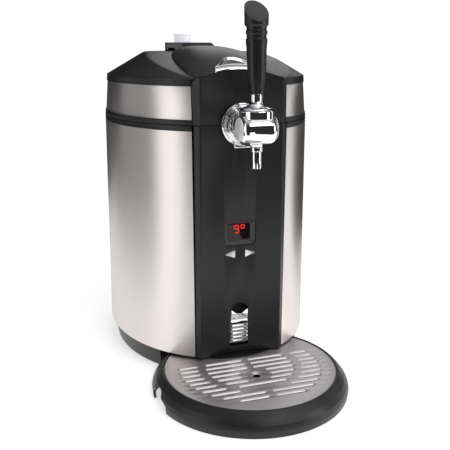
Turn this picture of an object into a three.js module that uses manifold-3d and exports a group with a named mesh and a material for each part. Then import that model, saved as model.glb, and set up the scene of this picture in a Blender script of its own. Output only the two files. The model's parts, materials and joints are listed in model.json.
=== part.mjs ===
// A countertop draught beer cooler for a 5 litre keg.
// Millimetres, +Z up, the tap faces -Y. Inside this file the middle of the oval body is at x = y = 0;
// the whole group is moved along Y at the end, so that the middle of its box is over the origin.
import * as THREE from 'three';
import { mergeVertices } from 'three/addons/utils/BufferGeometryUtils.js';
import Module from 'manifold-3d';

const wasm = await Module();
wasm.setup();

// ---------------------------------------------------------------- driving dimensions
const GAP = 0.3; // clearance between parts that touch
const WALL = 2.5; // moulded plastic walls
const SHEET = 0.8; // steel cladding

const HALF_WIDTH = 123; // oval body, on the X axis
const OVAL_EXTRA = 32; // how much farther out every oval stands on the Y axis
const OVAL_CORE = 72.6; // inside this radius the extra fades towards the middle

const BASE_FOOT_Z = 3; // underside of the base pan
const FLOOR_Z = 25.6; // underside of the body floor, just above the drip tray
const FLOOR_TOP_Z = 28.1;
const COLUMN_Z = 26; // lower end of the front column
const STEEL_TOP_Z = 286.6; // top of the lower steel cladding
const SEAM_Z = 292.75; // joint between body and lid, and the height of the tap
const SEAM_HALF_GAP = 0.35;
const LID_Z = SEAM_Z + SEAM_HALF_GAP; // lowest edge of the lid
const RIM_Z = 342; // where the lid's band meets its roof
const RIM_INSET = 3.4; // the lid's band leans in by this much

const ROOF_RISE = 27.5; // from the rim to the flat top
const ROOF_RUN = 47;
const DOME_SIZE = { y: -90, halfWidth: 55.5, front: 105, back: 130 };
const DOME_RIDGE = { topZ: 376.5, topY: -15, fall: 0.00165 };

const COLUMN_HALF = 48; // corners of the hollow-faced front column
const COLUMN_CORNER_Y = -146;
const COLUMN_HOLLOW = 6; // how far its face is dished in
const COLUMN = { half: 53.6, cheekY: -140.9 }; // its cheeks run from the corners back to the steel
const LID_FRONT = { half: 54.2, cheekY: -138.9 };
const COLUMN_SLIT = 1.8; // the dark slit between the column's cheeks and the steel
const CHEEK_TAPER = 0.284; // the cheeks are this much narrower at the column's lower end
const FLANGE_HALF = 63; // the column's hidden fixing flange, behind the body shell
const ARCH_RISE = 8.2; // the arched top edge of the lid's front

const WELL_Y = -14; // axis of the keg well
const WELL_R = 88.5; // a 5 litre keg is 171 mm across and 250 mm tall
const WELL_FLOOR_Z = 30.4;
const DECK_Z = 284.3;

const TAP_Y = -188; // axis of the tap's barrel, at SEAM_Z
const TAP_LEAN = 2; // degrees by which the handle leans back towards the lid
const COLLAR_Z = 270; // the collar between the tap and its spout
const COLLAR_TOP_Z = 274.3;
const SPOUT_Z = 252; // open end of the spout

const TRAY_Y = -176; // middle of the round drip tray
const TRAY_R = 110;
const TRAY_LIP_R = 98.2;
const TRAY_LIP_Z = 24.8;
const PLATE_R = 95.7;
const PLATE_TOP_Z = 24;
const SLOT_PITCH = 9.6;

const HINGE_Y = 160.5;
const HINGE_Z = 290.5;
const HINGE_R = 4.5;
const PIN_R = 2;

const FAN_Z = 150; // middle of the cooler's fan, heat sink and cold block

// ---------------------------------------------------------------- solids
// A closed geometry as a solid that can be cut and joined, with its faces pointing out.
function solid(geometry) {
  const bare = geometry.clone();
  bare.deleteAttribute('normal');
  bare.deleteAttribute('uv');
  const merged = mergeVertices(bare, 1e-3);
  const positions = merged.getAttribute('position').array;
  const index = merged.index.array;
  const triangles = [];
  let volume = 0;
  const a = new THREE.Vector3();
  const b = new THREE.Vector3();
  const c = new THREE.Vector3();
  for (let i = 0; i < index.length; i += 3) {
    const [p, q, r] = [index[i], index[i + 1], index[i + 2]];
    if (p === q || q === r || r === p) continue;
    triangles.push([p, q, r]);
    a.fromArray(positions, 3 * p);
    b.fromArray(positions, 3 * q);
    c.fromArray(positions, 3 * r);
    volume += a.dot(b.cross(c));
  }
  const triVerts = new Uint32Array(triangles.flatMap(([p, q, r]) => (volume < 0 ? [p, r, q] : [p, q, r])));
  const vertProperties = new Float32Array(positions);
  return new wasm.Manifold(new wasm.Mesh({ numProp: 3, vertProperties, triVerts }));
}

// A block given by its limits on X, Y and Z.
function block(x0, x1, y0, y1, z0, z1) {
  const box = new THREE.BoxGeometry(x1 - x0, y1 - y0, z1 - z0);
  return solid(box.translate((x0 + x1) / 2, (y0 + y1) / 2, (z0 + z1) / 2));
}

// Points [radius, height] turned round a vertical axis at (x, y).
function turned(profile, segments = 48, x = 0, y = 0) {
  const lathe = new THREE.LatheGeometry(profile.map(([r, z]) => new THREE.Vector2(r, z)), segments);
  return solid(lathe.rotateX(Math.PI / 2).translate(x, y, 0));
}

// The same, turned round an axis along Y at (x, z): points are [radius, y].
function turnedY(profile, segments = 32, x = 0, z = 0) {
  const lathe = new THREE.LatheGeometry(profile.map(([r, y]) => new THREE.Vector2(r, y)), segments);
  return solid(lathe.translate(x, 0, z));
}

// The same, turned round an axis along X at (y, z): points are [radius, x].
function turnedX(profile, segments = 32, y = 0, z = 0) {
  const lathe = new THREE.LatheGeometry(profile.map(([r, x]) => new THREE.Vector2(r, x)), segments);
  return solid(lathe.rotateZ(-Math.PI / 2).translate(0, y, z));
}

// Round bars along Z, Y and X.
const bar = (r, a, b) => [[0, a], [r, a], [r, b], [0, b]];
const rod = (r, z0, z1, x = 0, y = 0, segments = 24) => turned(bar(r, z0, z1), segments, x, y);
const rodY = (r, y0, y1, x = 0, z = 0, segments = 24) => turnedY(bar(r, y0, y1), segments, x, z);
const rodX = (r, x0, x1, y = 0, z = 0, segments = 24) => turnedX(bar(r, x0, x1), segments, y, z);

// A lathe whose circles are stretched to ovals: x = r cos t, y = (r + OVAL_EXTRA) sin t.
// height, if given, sets the z of every point of the profile that lies at or above from.
function oval(profile, segments = 64, height = null, from = Infinity) {
  const lathe = new THREE.LatheGeometry(profile.map(([r, z]) => new THREE.Vector2(r, z)), segments);
  lathe.rotateX(Math.PI / 2);
  const position = lathe.getAttribute('position');
  for (let i = 0; i < position.count; i += 1) {
    const x = position.getX(i);
    const y = position.getY(i);
    const r = Math.hypot(x, y);
    const stretched = r < 1e-6 ? 0 : y + (y / r) * OVAL_EXTRA * Math.min(1, r / OVAL_CORE);
    position.setY(i, stretched);
    if (position.getZ(i) >= from) position.setZ(i, height(x, stretched, r));
  }
  return solid(lathe);
}

const ovalRing = (inner, outer, z0, z1, segments = 64) =>
  oval([[inner, z0], [outer, z0], [outer, z1], [inner, z1], [inner, z0]], segments);
const ovalDisc = (r, z0, z1, segments = 64) => oval([[0, z0], [r, z0], [r, z1], [0, z1]], segments);

// An outline of [u, v] points, given a depth from a to b along Z, Y or X.
function extruded(points, a, b, holes = []) {
  const shape = new THREE.Shape(points.map(([u, v]) => new THREE.Vector2(u, v)));
  shape.holes = holes.map((hole) => new THREE.Path(hole.map(([u, v]) => new THREE.Vector2(u, v))));
  return new THREE.ExtrudeGeometry(shape, { depth: b - a, bevelEnabled: false });
}
const plan = (points, z0, z1, holes = []) => solid(extruded(points, z0, z1, holes).translate(0, 0, z0));
const front = (points, y0, y1) => solid(extruded(points, y0, y1).rotateX(Math.PI / 2).translate(0, y1, 0));
const side = (points, x0, x1) =>
  solid(extruded(points, x0, x1).rotateZ(Math.PI / 2).rotateY(Math.PI / 2).translate(x0, 0, 0));

const joined = (...parts) => parts.reduce((all, part) => all.add(part));
const without = (part, ...cuts) => cuts.reduce((left, cut) => left.subtract(cut), part);
const mirrored = (part) => part.mirror([1, 0, 0]);
const arc = (steps, at) => Array.from({ length: steps + 1 }, (_, i) => at(i / steps));

// Corners of a rectangle with rounded corners, for the outlines above.
function rounded(x0, x1, y0, y1, radius, steps = 4) {
  const corners = [[x1 - radius, y1 - radius, 0], [x0 + radius, y1 - radius, 1],
    [x0 + radius, y0 + radius, 2], [x1 - radius, y0 + radius, 3]];
  return corners.flatMap(([cx, cy, quarter]) => arc(steps, (t) => {
    const angle = ((quarter + t) * Math.PI) / 2;
    return [cx + radius * Math.cos(angle), cy + radius * Math.sin(angle)];
  }));
}

// ---------------------------------------------------------------- shapes that several parts share
// y of the column's dished face, moved inwards by back.
const faceY = (x, back = 0) => COLUMN_CORNER_Y + back + COLUMN_HOLLOW * (1 - (x / COLUMN_HALF) ** 2);
const acrossFace = (t) => (2 * t - 1) * COLUMN_HALF;
const faceLine = (back) => arc(12, (t) => [acrossFace(t), faceY(acrossFace(t), back)]);

// Everything in front of the column's face and cheeks, moved inwards by back.
function aheadOfFace({ half, cheekY }, back, z0, z1) {
  const edge = [[-half, cheekY + back], ...faceLine(back), [half, cheekY + back]];
  return plan([[-half, -230], ...edge, [half, -230]], z0, z1);
}

// The channel shared by the column and the lid's front: a dished face, two cheeks and short flanks.
function channel({ half, cheekY }, backY, z0, z1) {
  const outline = [[-half, cheekY], ...faceLine(0), [half, cheekY], [half, backY], [-half, backY]];
  const outer = plan(outline, z0, z1);
  const inside = half - WALL;
  const hollow = block(-inside, inside, -230, backY + 1, z0 - 1, z1 + 1);
  return outer.subtract(hollow.subtract(aheadOfFace({ half: inside + 1, cheekY }, WALL, z0 - 2, z1 + 2)));
}

// Narrows what lies outside the column's corners, more and more towards its lower end.
const tapered = (part) => part.warp((point) => {
  const past = Math.abs(point[0]) - COLUMN_HALF;
  const share = Math.max(0, SEAM_Z - point[2]) / (SEAM_Z - COLUMN_Z);
  if (past > 0) point[0] = Math.sign(point[0]) * (COLUMN_HALF + past * (1 - CHEEK_TAPER * share));
});

const neckNotch = () => rodY(8.4, -160, -100, 0, SEAM_Z, 32);

// The opening left in the body for the column, with its slit.
const gapHalf = COLUMN.half + COLUMN_SLIT;
const columnGap = tapered(block(-gapHalf, gapHalf, -230, -118, 20, 320));

// Roof of the lid without its dome: it climbs from the rim to a flat top, scooped out towards the front.
const scoopZ = (y) => Math.max(RIM_Z, 368.3 + 0.139 * y - 0.00038 * y * y);
function roofZ(x, y, r) {
  const climb = RIM_Z + ROOF_RISE * THREE.MathUtils.clamp((HALF_WIDTH - RIM_INSET - r) / ROOF_RUN, 0, 1);
  return Math.min(climb, scoopZ(y));
}

// The lid's outer form as a full body. The inner form is the same, moved in by inset.
function lidForm(inset, bottom, segments, rings) {
  const rim = HALF_WIDTH - RIM_INSET - inset;
  const roof = arc(rings, (t) => [rim * (1 - t), 500]);
  const profile = [[0, bottom], [HALF_WIDTH - inset, bottom], [HALF_WIDTH - inset, LID_Z], ...roof];
  return oval(profile, segments, (x, y, r) => roofZ(x, y, r) - inset, 499);
}

// The long dome on the lid, from deep inside the roof up to its own surface.
function dome(inset, segments, rings) {
  const profile = [[0, 335], [1, 335], ...arc(rings, (t) => [1 - t, 500])];
  const lathe = new THREE.LatheGeometry(profile.map(([r, z]) => new THREE.Vector2(r, z)), segments);
  lathe.rotateX(Math.PI / 2);
  const position = lathe.getAttribute('position');
  for (let i = 0; i < position.count; i += 1) {
    const u = position.getX(i);
    const v = position.getY(i);
    const y = DOME_SIZE.y + v * ((v < 0 ? DOME_SIZE.front : DOME_SIZE.back) - inset);
    const across = Math.sqrt(Math.max(1e-9, 1 - v * v));
    position.setX(i, u * (DOME_SIZE.halfWidth - inset));
    position.setY(i, y);
    const ridge = DOME_RIDGE.topZ - DOME_RIDGE.fall * Math.min(0, y - DOME_RIDGE.topY) ** 2;
    const bulge = Math.max(0, 1 - (u / across) ** 2) ** 0.8;
    if (position.getZ(i) > 499) position.setZ(i, scoopZ(y) + 0.15 + (ridge - scoopZ(y)) * bulge - inset);
  }
  return solid(lathe);
}

// ---------------------------------------------------------------- finishes
function finish(color, roughness, metalness) {
  return new THREE.MeshStandardMaterial({ color, roughness, metalness });
}
const BLACK = finish(0x2b2b2d, 0.45, 0);
const DARK = finish(0x1d1d1f, 0.6, 0);
const STEEL = finish(0xc9c6c2, 0.35, 1);
const CHROME = finish(0xe4e6e8, 0.08, 1);
const ALUMINIUM = finish(0xb9bcc0, 0.4, 1);
const RUBBER = finish(0x161616, 0.9, 0);
const FOAM = finish(0xd8d4c4, 0.95, 0);
const WHITE = finish(0xeeeeee, 0.4, 0);
const GREEN = finish(0x1f5a35, 0.6, 0);
const GLASS = finish(0x170405, 0.1, 0);

const group = new THREE.Group();

function add(name, part, material) {
  const { vertProperties, triVerts, numProp } = part.getMesh();
  const geometry = new THREE.BufferGeometry();
  const positions = new Float32Array((vertProperties.length / numProp) * 3);
  for (let i = 0; i < positions.length / 3; i += 1) {
    for (let k = 0; k < 3; k += 1) positions[3 * i + k] = vertProperties[numProp * i + k];
  }
  geometry.setAttribute('position', new THREE.BufferAttribute(positions, 3));
  geometry.setIndex(new THREE.BufferAttribute(new Uint32Array(triVerts), 1));
  geometry.computeVertexNormals();
  const mesh = new THREE.Mesh(geometry, material);
  mesh.name = name;
  group.add(mesh);
}

// ---------------------------------------------------------------- base
const trayBay = rod(112.5, 0, FLOOR_Z - GAP, 0, TRAY_Y, 72);
const skirtForm = oval([[0, BASE_FOOT_Z], [115, BASE_FOOT_Z], [119.5, FLOOR_Z], [0, FLOOR_Z]]);
const skirt = oval([[0, FLOOR_Z], [116.8, FLOOR_Z], [112.5, BASE_FOOT_Z], [115, BASE_FOOT_Z],
  [119.5, FLOOR_Z], [121.9, FLOOR_Z], [121.9, FLOOR_TOP_Z], [0, FLOOR_TOP_Z]]);
const bayWall = rod(115, BASE_FOOT_Z, FLOOR_Z + 0.5, 0, TRAY_Y, 72).intersect(skirtForm);
const columnFoot = tapered(block(-COLUMN.half - 1, COLUMN.half + 1, -230, -124.5, FLOOR_Z, 40));
const basePan = without(joined(skirt, bayWall), trayBay, columnFoot);
add('base_pan', basePan, BLACK);
const bottomPlate = without(ovalDisc(112.2, BASE_FOOT_Z, 5), rod(115.3, 0, 10, 0, TRAY_Y, 72));
add('bottom_plate', bottomPlate, DARK);
const foot = (x, y) => turned([[0, 0], [8, 0], [9, 1], [9, 2.7], [0, 2.7]], 20, x, y);
add('foot_front_left', foot(-85, -50), RUBBER);
add('foot_front_right', foot(85, -50), RUBBER);
add('foot_rear_left', foot(-66, 88), RUBBER);
add('foot_rear_right', foot(66, 88), RUBBER);

// ---------------------------------------------------------------- body
const COVER_HALF = 60.7;
const shellProfile = [[119.4, 28.4], [121.9, 28.4], [121.9, STEEL_TOP_Z], [HALF_WIDTH, STEEL_TOP_Z],
  [HALF_WIDTH, SEAM_Z - SEAM_HALF_GAP], [119.4, SEAM_Z - SEAM_HALF_GAP], [119.4, 28.4]];
const coverGap = block(-COVER_HALF - GAP, COVER_HALF + GAP, 100, 170, 20, STEEL_TOP_Z);
add('body_shell', without(oval(shellProfile, 72), columnGap, coverGap), BLACK);

const cladding = ovalRing(HALF_WIDTH - SHEET, HALF_WIDTH, 26.5, STEEL_TOP_Z - GAP, 72);
const rightCladding = without(cladding.intersect(block(0, 130, -170, 170, 0, 400)), columnGap, coverGap);
add('side_panel_left', mirrored(rightCladding), STEEL);
add('side_panel_right', rightCladding, STEEL);

const DISPLAY_Z = 170;
const ARROW_Z = 145.6;
const SLOT_HALF = 11.4;
const SLOT_Z = 34;
const SLOT_TOP = 86.5;
const arrow = (grow) => [[18.9 + 1.7 * grow, ARROW_Z], [6 - grow, ARROW_Z + 4.6 + 1.3 * grow],
  [6 - grow, ARROW_Z - 4.6 - 1.3 * grow]];
const archedSlot = [[SLOT_HALF, SLOT_Z], ...arc(10, (t) => [SLOT_HALF * Math.cos(Math.PI * t),
  SLOT_TOP - SLOT_HALF + SLOT_HALF * Math.sin(Math.PI * t)]), [-SLOT_HALF, SLOT_Z]];
const BOARD_Y = -133.4;
const boardPost = (x, z) => rodY(2.2, faceY(x, 1.5), BOARD_Y - GAP, x, z, 12);
const boardPosts = [-26, 26].flatMap((x) => [boardPost(x, 135), boardPost(x, 195)]);
const FLANGE_BACK_Y = -125.8;
const flange = block(COLUMN.half - 1, FLANGE_HALF, FLANGE_BACK_Y - WALL, FLANGE_BACK_Y, 28.6, 284);
const columnChannel = channel(COLUMN, FLANGE_BACK_Y, COLUMN_Z, SEAM_Z - SEAM_HALF_GAP);
const arrowHole = front(arrow(0.35), -160, -125);
const column = without(
  joined(tapered(joined(columnChannel, flange, mirrored(flange))), ...boardPosts),
  neckNotch(),
  front(rounded(-18.8, 18.8, 155.7, 184.3, 4.3), -160, -120),
  arrowHole,
  mirrored(arrowHole),
  front(archedSlot, -160, -130),
);
add('front_column', column, BLACK);

const vent = (z) => block(-38, 38, 100, 170, z, z + 4);
const coverBlank = ovalRing(119.4, HALF_WIDTH, 28.4, STEEL_TOP_Z - GAP, 72);
const rearCover = without(
  coverBlank.intersect(block(-COVER_HALF, COVER_HALF, 100, 170, 0, 400)),
  ...arc(9, (t) => vent(112 + 72 * t)),
  block(-39.3, -10.7, 100, 170, 44.7, 65.3),
  block(14.7, 35.3, 100, 170, 47.3, 62.9),
);
add('rear_cover', rearCover, BLACK);

// ---------------------------------------------------------------- cold well and its cooler
const flankInside = COLUMN.half - WALL - GAP;
const flankSlot = block(flankInside, COLUMN.half + GAP, -230, -125.5, 280, 290);
const deckFront = aheadOfFace({ half: flankInside + 0.5, cheekY: COLUMN.cheekY }, WALL + GAP, 280, 290);
const deck = without(
  ovalDisc(119.1, DECK_Z, DECK_Z + 3),
  rod(88.9, 280, 290, 0, WELL_Y, 64),
  deckFront,
  flankSlot,
  mirrored(flankSlot),
  block(-9, 9, -150, -118, 280, 290),
);
add('top_deck', deck, BLACK);
const wellProfile = [[0, FLOOR_TOP_Z + GAP], [WELL_R + 1.5, FLOOR_TOP_Z + GAP], [WELL_R + 1.5, DECK_Z - GAP],
  [WELL_R, DECK_Z - GAP], [WELL_R, WELL_FLOOR_Z], [0, WELL_FLOOR_Z]];
add('keg_well', turned(wellProfile, 64, 0, WELL_Y), ALUMINIUM);
const jacketProfile = [[90.3, 28.4], [99.6, 28.4], [99.6, DECK_Z - GAP], [90.3, DECK_Z - GAP], [90.3, 28.4]];
const jacket = turned(jacketProfile, 48, 0, WELL_Y);
add('insulation_jacket', jacket.subtract(block(-26, 26, 60, 100, 110, 190)), FOAM);
add('cold_block', block(-25, 25, 68, 90, 115, 185).subtract(rod(90.3, 100, 200, 0, WELL_Y, 64)), ALUMINIUM);
add('peltier_module', block(-20, 20, 90.3, 94.3, FAN_Z - 20, FAN_Z + 20), WHITE);
const fins = arc(11, (t) => block(-45 + 88.2 * t, -43.2 + 88.2 * t, 99, 120, FAN_Z - 45, FAN_Z + 45));
add('heat_sink', joined(block(-45, 45, 94.6, 99.6, FAN_Z - 45, FAN_Z + 45), ...fins), ALUMINIUM);

const strut = (angle) => solid(new THREE.BoxGeometry(40, 2.5, 3).translate(21, 0, 0).rotateY(angle)
  .translate(0, 134, FAN_Z));
const fanFrame = joined(
  block(-40, 40, 120.3, 135.5, FAN_Z - 40, FAN_Z + 40).subtract(rodY(38, 110, 140, 0, FAN_Z, 40)),
  rodY(13, 132.3, 135.5, 0, FAN_Z, 24),
  ...[0.25, 0.75, 1.25, 1.75].map((turn) => strut(turn * Math.PI)),
);
add('fan_frame', fanFrame, DARK);
const blade = (turn) => solid(new THREE.BoxGeometry(23, 1.6, 13).rotateX(0.6).translate(24.5, 126.5, 0)
  .rotateY(turn * Math.PI * 2).translate(0, 0, FAN_Z));
const rotor = joined(rodY(14, 121.8, 131.8, 0, FAN_Z, 24), ...arc(6, (t) => blade((t * 6) / 7)));
add('fan_rotor', rotor, DARK);
add('power_supply', block(-50, 50, 96, 128, 28.4, 72), ALUMINIUM);

const inlet = without(block(-39, -11, 140, 155.2, 45, 65), block(-36.5, -13.5, 144, 160, 47.5, 62.5));
const pin = (x, z) => block(x - 1, x + 1, 143, 149.8, z - 2, z + 2);
add('mains_inlet', joined(inlet, pin(-32, 53), pin(-25, 57), pin(-18, 53)), DARK);
const rockerBay = block(16.6, 33.4, 142, 170, 49, 61.2);
add('switch_housing', block(15, 35, 138, 152.2, 47.6, 62.6).subtract(rockerBay), DARK);
const rocker = side([[144, 50.9], [151.6, 50.4], [150.4, 55], [153.6, 59.4], [147, 59.1]], 16.9, 33.1);
add('power_switch', rocker, BLACK);

// ---------------------------------------------------------------- controls
add('control_board', block(-30, 30, BOARD_Y, BOARD_Y + 1.6, 130, 200), GREEN);
function frustum(w0, h0, w1, y0, y1) {
  const pyramid = new THREE.CylinderGeometry(w1 / Math.SQRT2, w0 / Math.SQRT2, y1 - y0, 4);
  pyramid.rotateY(Math.PI / 4).scale(1, 1, h0 / w0);
  return solid(pyramid.translate(0, (y0 + y1) / 2, DISPLAY_Z));
}
const bezel = without(
  front(rounded(-18.5, 18.5, 156, 184, 4), -139.9, BOARD_Y - GAP - 0.9),
  frustum(35.6, 26.4, 26.6, -140.6, -136.8),
  block(-13.3, 13.3, -137, -130, DISPLAY_Z - 9.9, DISPLAY_Z + 9.9),
);
add('display_bezel', bezel, BLACK);
const windowPane = block(-13, 13, -136.6, -134.9, DISPLAY_Z - 9.6, DISPLAY_Z + 9.6);
add('display_window', windowPane, GLASS);
const button = front(arrow(0), faceY(12) - 0.6, BOARD_Y - 1.3);
add('button_left', mirrored(button), CHROME);
add('button_right', button, CHROME);

const guide = without(block(-16, 16, -137, -132.6, 30, 92), block(-13.3, 13.3, -138, -134, 31.5, 90.5));
add('slider_guide', guide.subtract(block(-13.3, 13.3, -138, -136, 20, 100)), BLACK);
const scoop = arc(8, (t) => [9 - 18 * t, 78 - 4.6 * Math.sin(Math.PI * t)]);
const scooped = [[-10, 37], [10, 37], [10, 78], ...scoop, [-10, 78]];
const ribs = arc(6, (t) => block(-10, 10, -140.6, -139.5, 39.5 + 4.7 * t, 41.3 + 4.7 * t));
const slider = joined(front(scooped, -139.8, -136.5), block(-12.8, 12.8, -136.8, -134.4, 35, 80), ...ribs);
add('tray_catch', slider, CHROME);

// ---------------------------------------------------------------- tap
const flangeProfile = [[0, -141.8], [23.5, -141.8], [23.5, -146], [21, -146.3], [21, -147.3], [19.5, -147.6],
  [19.5, -149], [17, -149.4], [17, -151], [0, -151]];
add('tap_flange', turnedY(flangeProfile, 36, 0, SEAM_Z), CHROME);
add('tap_shank', rodY(8, -141.5, -122, 0, SEAM_Z, 32), STEEL);
add('line_connector', rodY(5, -121.7, -117.2, 0, SEAM_Z, 20), WHITE);

// Half of the barrel's profile from its middle outwards, as [radius, x]; grow makes it a little larger.
function barrelForm(grow) {
  const half = [[16.8, 6], [16.3, 13], [14.8, 16.5], [12.3, 18.5]].map(([r, x]) => [r + grow, x + grow]);
  const other = half.map(([r, x]) => [r, -x]).reverse();
  return turnedX([[0, -18.5 - grow], ...other, ...half, [0, 18.5 + grow]], 36, TAP_Y, SEAM_Z);
}
const neckProfile = [[0, -151.3], [13, -151.3], [12.6, -154], [11, -160], [11, -178], [0, -178]];
const neck = turnedY(neckProfile, 40, 0, SEAM_Z);
add('tap_body', joined(barrelForm(0), neck, rod(6.2, COLLAR_TOP_Z + GAP, 285, 0, TAP_Y, 32)), CHROME);
const cap = turnedX([[0, 18.8], [12.5, 18.8], [12.5, 19.5], [10.5, 20.3], [0, 20.7]], 40, TAP_Y, SEAM_Z);
add('tap_side_cap_left', mirrored(cap), CHROME);
add('tap_side_cap_right', cap, CHROME);
add('spout_collar', rod(6.9, COLLAR_Z, COLLAR_TOP_Z, 0, TAP_Y, 32), CHROME);
const spoutProfile = [[4.2, SPOUT_Z], [5.55, SPOUT_Z], [5.55, COLLAR_Z - GAP], [4.2, COLLAR_Z - GAP],
  [4.2, SPOUT_Z]];
add('spout', turned(spoutProfile, 32, 0, TAP_Y), CHROME);
const wire = (x) => rod(0.8, 268, 275.4, x, -148.3, 10);
add('tap_clip', joined(wire(-10), wire(10), rodX(0.8, -10.6, 10.6, -148.3, 268.4, 10)), CHROME);

// The lever is a saddle that turns round the barrel; its stem and the handle lean back a little.
const leaning = (part) => {
  const atPivot = part.translate([0, -TAP_Y, -SEAM_Z]);
  return atPivot.rotate([-TAP_LEAN, 0, 0]).translate([0, TAP_Y, SEAM_Z]);
};
const bonnetProfile = [[0, 303.2], [17.6, 303.2], [18.4, 304], [18.4, 311], [17.4, 313.2], [13.5, 315],
  [9.5, 316.4], [0, 316.4]];
const bonnet = turned(bonnetProfile, 36, 0, TAP_Y);
const stemProfile = [[0, 310], [8.5, 310], [8.5, 315.4], [6.25, 318.5], [6.25, 328], [0, 328]];
const stem = leaning(turned(stemProfile, 24, 0, TAP_Y));
const lever = without(joined(bonnet, stem), barrelForm(0.35), rodY(11.4, TAP_Y, -140, 0, SEAM_Z, 40));
add('tap_lever', lever, CHROME);
const handleProfile = [[0, 328.3], [7.55, 328.3], [7.9, 332], [9.25, 342.5], [10, 362], [10.3, 374],
  [11, 380.5], [11, 383], [10, 384], [10, 387.5], [11, 388.5], [11, 391], [10.2, 392], [10.4, 395],
  [12.15, 397], [12.65, 426], [0, 426]];
const slantedTop = solid(new THREE.BoxGeometry(60, 80, 40).translate(0, 0, 20)
  .rotateX(Math.atan2(422 - 400, 26)).translate(0, -170.5, 422));
add('tap_handle', leaning(turned(handleProfile, 28, 0, TAP_Y)).subtract(slantedTop), DARK);

// ---------------------------------------------------------------- hinge
const bodyOval = ovalDisc(HALF_WIDTH + GAP, 260, SEAM_Z - SEAM_HALF_GAP, 72);
const lug = (x0, x1) => {
  const leg = block(x0, x1, 140, HINGE_Y + HINGE_R, 276, HINGE_Z);
  return leg.add(rodX(HINGE_R, x0, x1, HINGE_Y, HINGE_Z));
};
const pinHole = rodX(PIN_R + GAP, -50, 50, HINGE_Y, HINGE_Z, 20);
const bracketBar = block(-38, 38, 140, 158, 276, 285.2);
add('hinge_bracket', without(joined(bracketBar, lug(-38, -30), lug(30, 38)), bodyOval, pinHole), BLACK);
add('hinge_pin', rodX(PIN_R, -38, 38, HINGE_Y, HINGE_Z, 20), STEEL);

// ---------------------------------------------------------------- lid
// Outline of the release button, seen from above: a curved front edge and a pointed back.
const BUTTON_HALF = 29;
const buttonPlan = (grow) => {
  const right = [[26.5, -129], [18.6, -120], [11, -109], [5, -104.5], [0, -103.5]]
    .map(([x, y]) => [x + grow, y + grow]);
  const left = right.slice(0, -1).reverse().map(([x, y]) => [-x, y]);
  const frontEdge = arc(6, (t) => [(2 * t - 1) * (BUTTON_HALF + grow),
    faceY((2 * t - 1) * BUTTON_HALF, WALL + 1 - grow)]);
  return [...frontEdge, ...right, ...left];
};
const BUTTON_Z = 342.9;
const ringAt = (z, inset) => HALF_WIDTH - inset - (RIM_INSET * (z - LID_Z)) / (RIM_Z - LID_Z);
const band = (outer, inner, z0, z1) => oval([[ringAt(z0, inner), z0], [ringAt(z0, outer), z0],
  [ringAt(z1, outer), z1], [ringAt(z1, inner), z1], [ringAt(z0, inner), z0]], 72);
const inlayEnds = (frontHalf, rearHalf) => joined(block(-frontHalf, frontHalf, -170, 0, 0, 400),
  block(-rearHalf, rearHalf, 0, 170, 0, 400));
const LID_WALL = 3;
const lidOuter = joined(lidForm(0, LID_Z, 72, 13), dome(0, 48, 8));
const lidInner = joined(lidForm(LID_WALL, LID_Z - 5, 48, 8), dome(LID_WALL, 32, 5));
const lidKnuckle = without(
  joined(rodX(HINGE_R, -29.5, 29.5, HINGE_Y, HINGE_Z), block(-29.5, 29.5, 148, HINGE_Y, 293.3, 298)),
  pinHole,
  bodyOval,
  ovalDisc(HALF_WIDTH - 2, 280, 300, 72),
);
const lidShell = without(
  joined(lidOuter.subtract(lidInner), lidKnuckle),
  aheadOfFace({ half: LID_FRONT.half + GAP, cheekY: LID_FRONT.cheekY }, WALL + GAP, 280, 400),
  block(-LID_FRONT.half - GAP, LID_FRONT.half + GAP, -230, -125, 280, RIM_Z - 2),
  without(band(-3, 1.7, 298.1, 334.3), inlayEnds(54.5, 61)),
  plan(buttonPlan(0.4), 335, 400),
);
add('lid_shell', lidShell, BLACK);
const leftSide = block(-200, 0, -200, 200, 0, 400);
const inlayRight = without(band(0.9, 1.4, 298.4, 334), inlayEnds(54.8, 61.3), leftSide);
add('lid_inlay_left', mirrored(inlayRight), STEEL);
add('lid_inlay_right', inlayRight, STEEL);

const archedTop = [[-70, 290], [-70, RIM_Z], ...arc(16, (t) => [(2 * t - 1) * COLUMN_HALF,
  RIM_Z + ARCH_RISE * (1 - (2 * t - 1) ** 2)]), [70, RIM_Z], [70, 290]];
const lidFront = channel(LID_FRONT, -128.3, LID_Z, 360).intersect(front(archedTop, -160, -100));
const aheadOfPanel = aheadOfFace(LID_FRONT, WALL, 300, 410);
const underRoof = block(-60, 60, -170, -120, RIM_Z - 2 - GAP, 400).subtract(aheadOfPanel);
add('lid_front_panel', without(lidFront, neckNotch(), underRoof), BLACK);

const linerProfile = [[95.5, 291.9], [103, 291.9], [103, 300], [101, 325], [95, 332], [0, 332], [0, 330],
  [94, 330], [99, 324], [99.8, 294], [95.5, 294], [95.5, 291.9]];
const linerBowl = turned(linerProfile, 40, 0, WELL_Y);
const linerFlange = ovalDisc(119.2, 293.4, 295.4, 64).subtract(rod(101, 290, 300, 0, WELL_Y, 48));
const shankRoom = block(-9.5, 9.5, -160, -100, 280, 304);
const frontRoom = block(-56, 56, -170, -127.3, 290, 300);
add('lid_liner', without(joined(linerBowl, linerFlange), shankRoom, frontRoom), BLACK);
const gasketProfile = [[96, 287.6], [100, 287.6], [100, 291.6], [96, 291.6], [96, 287.6]];
add('lid_gasket', turned(gasketProfile, 36, 0, WELL_Y), RUBBER);
const hookLeg = block(24, 30, -134, -131, 288.2, 313);
add('latch_hook', joined(block(-30, 30, -134, -131, 312, 318), hookLeg, mirrored(hookLeg)), STEEL);

const buttonCap = plan(buttonPlan(0), BUTTON_Z, 370).intersect(lidOuter.translate([0, 0, 0.4]));
const plunger = block(-4, 4, -133.6, -128, 321.2, BUTTON_Z + 1);
add('release_button', joined(buttonCap, plunger), CHROME);

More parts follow.
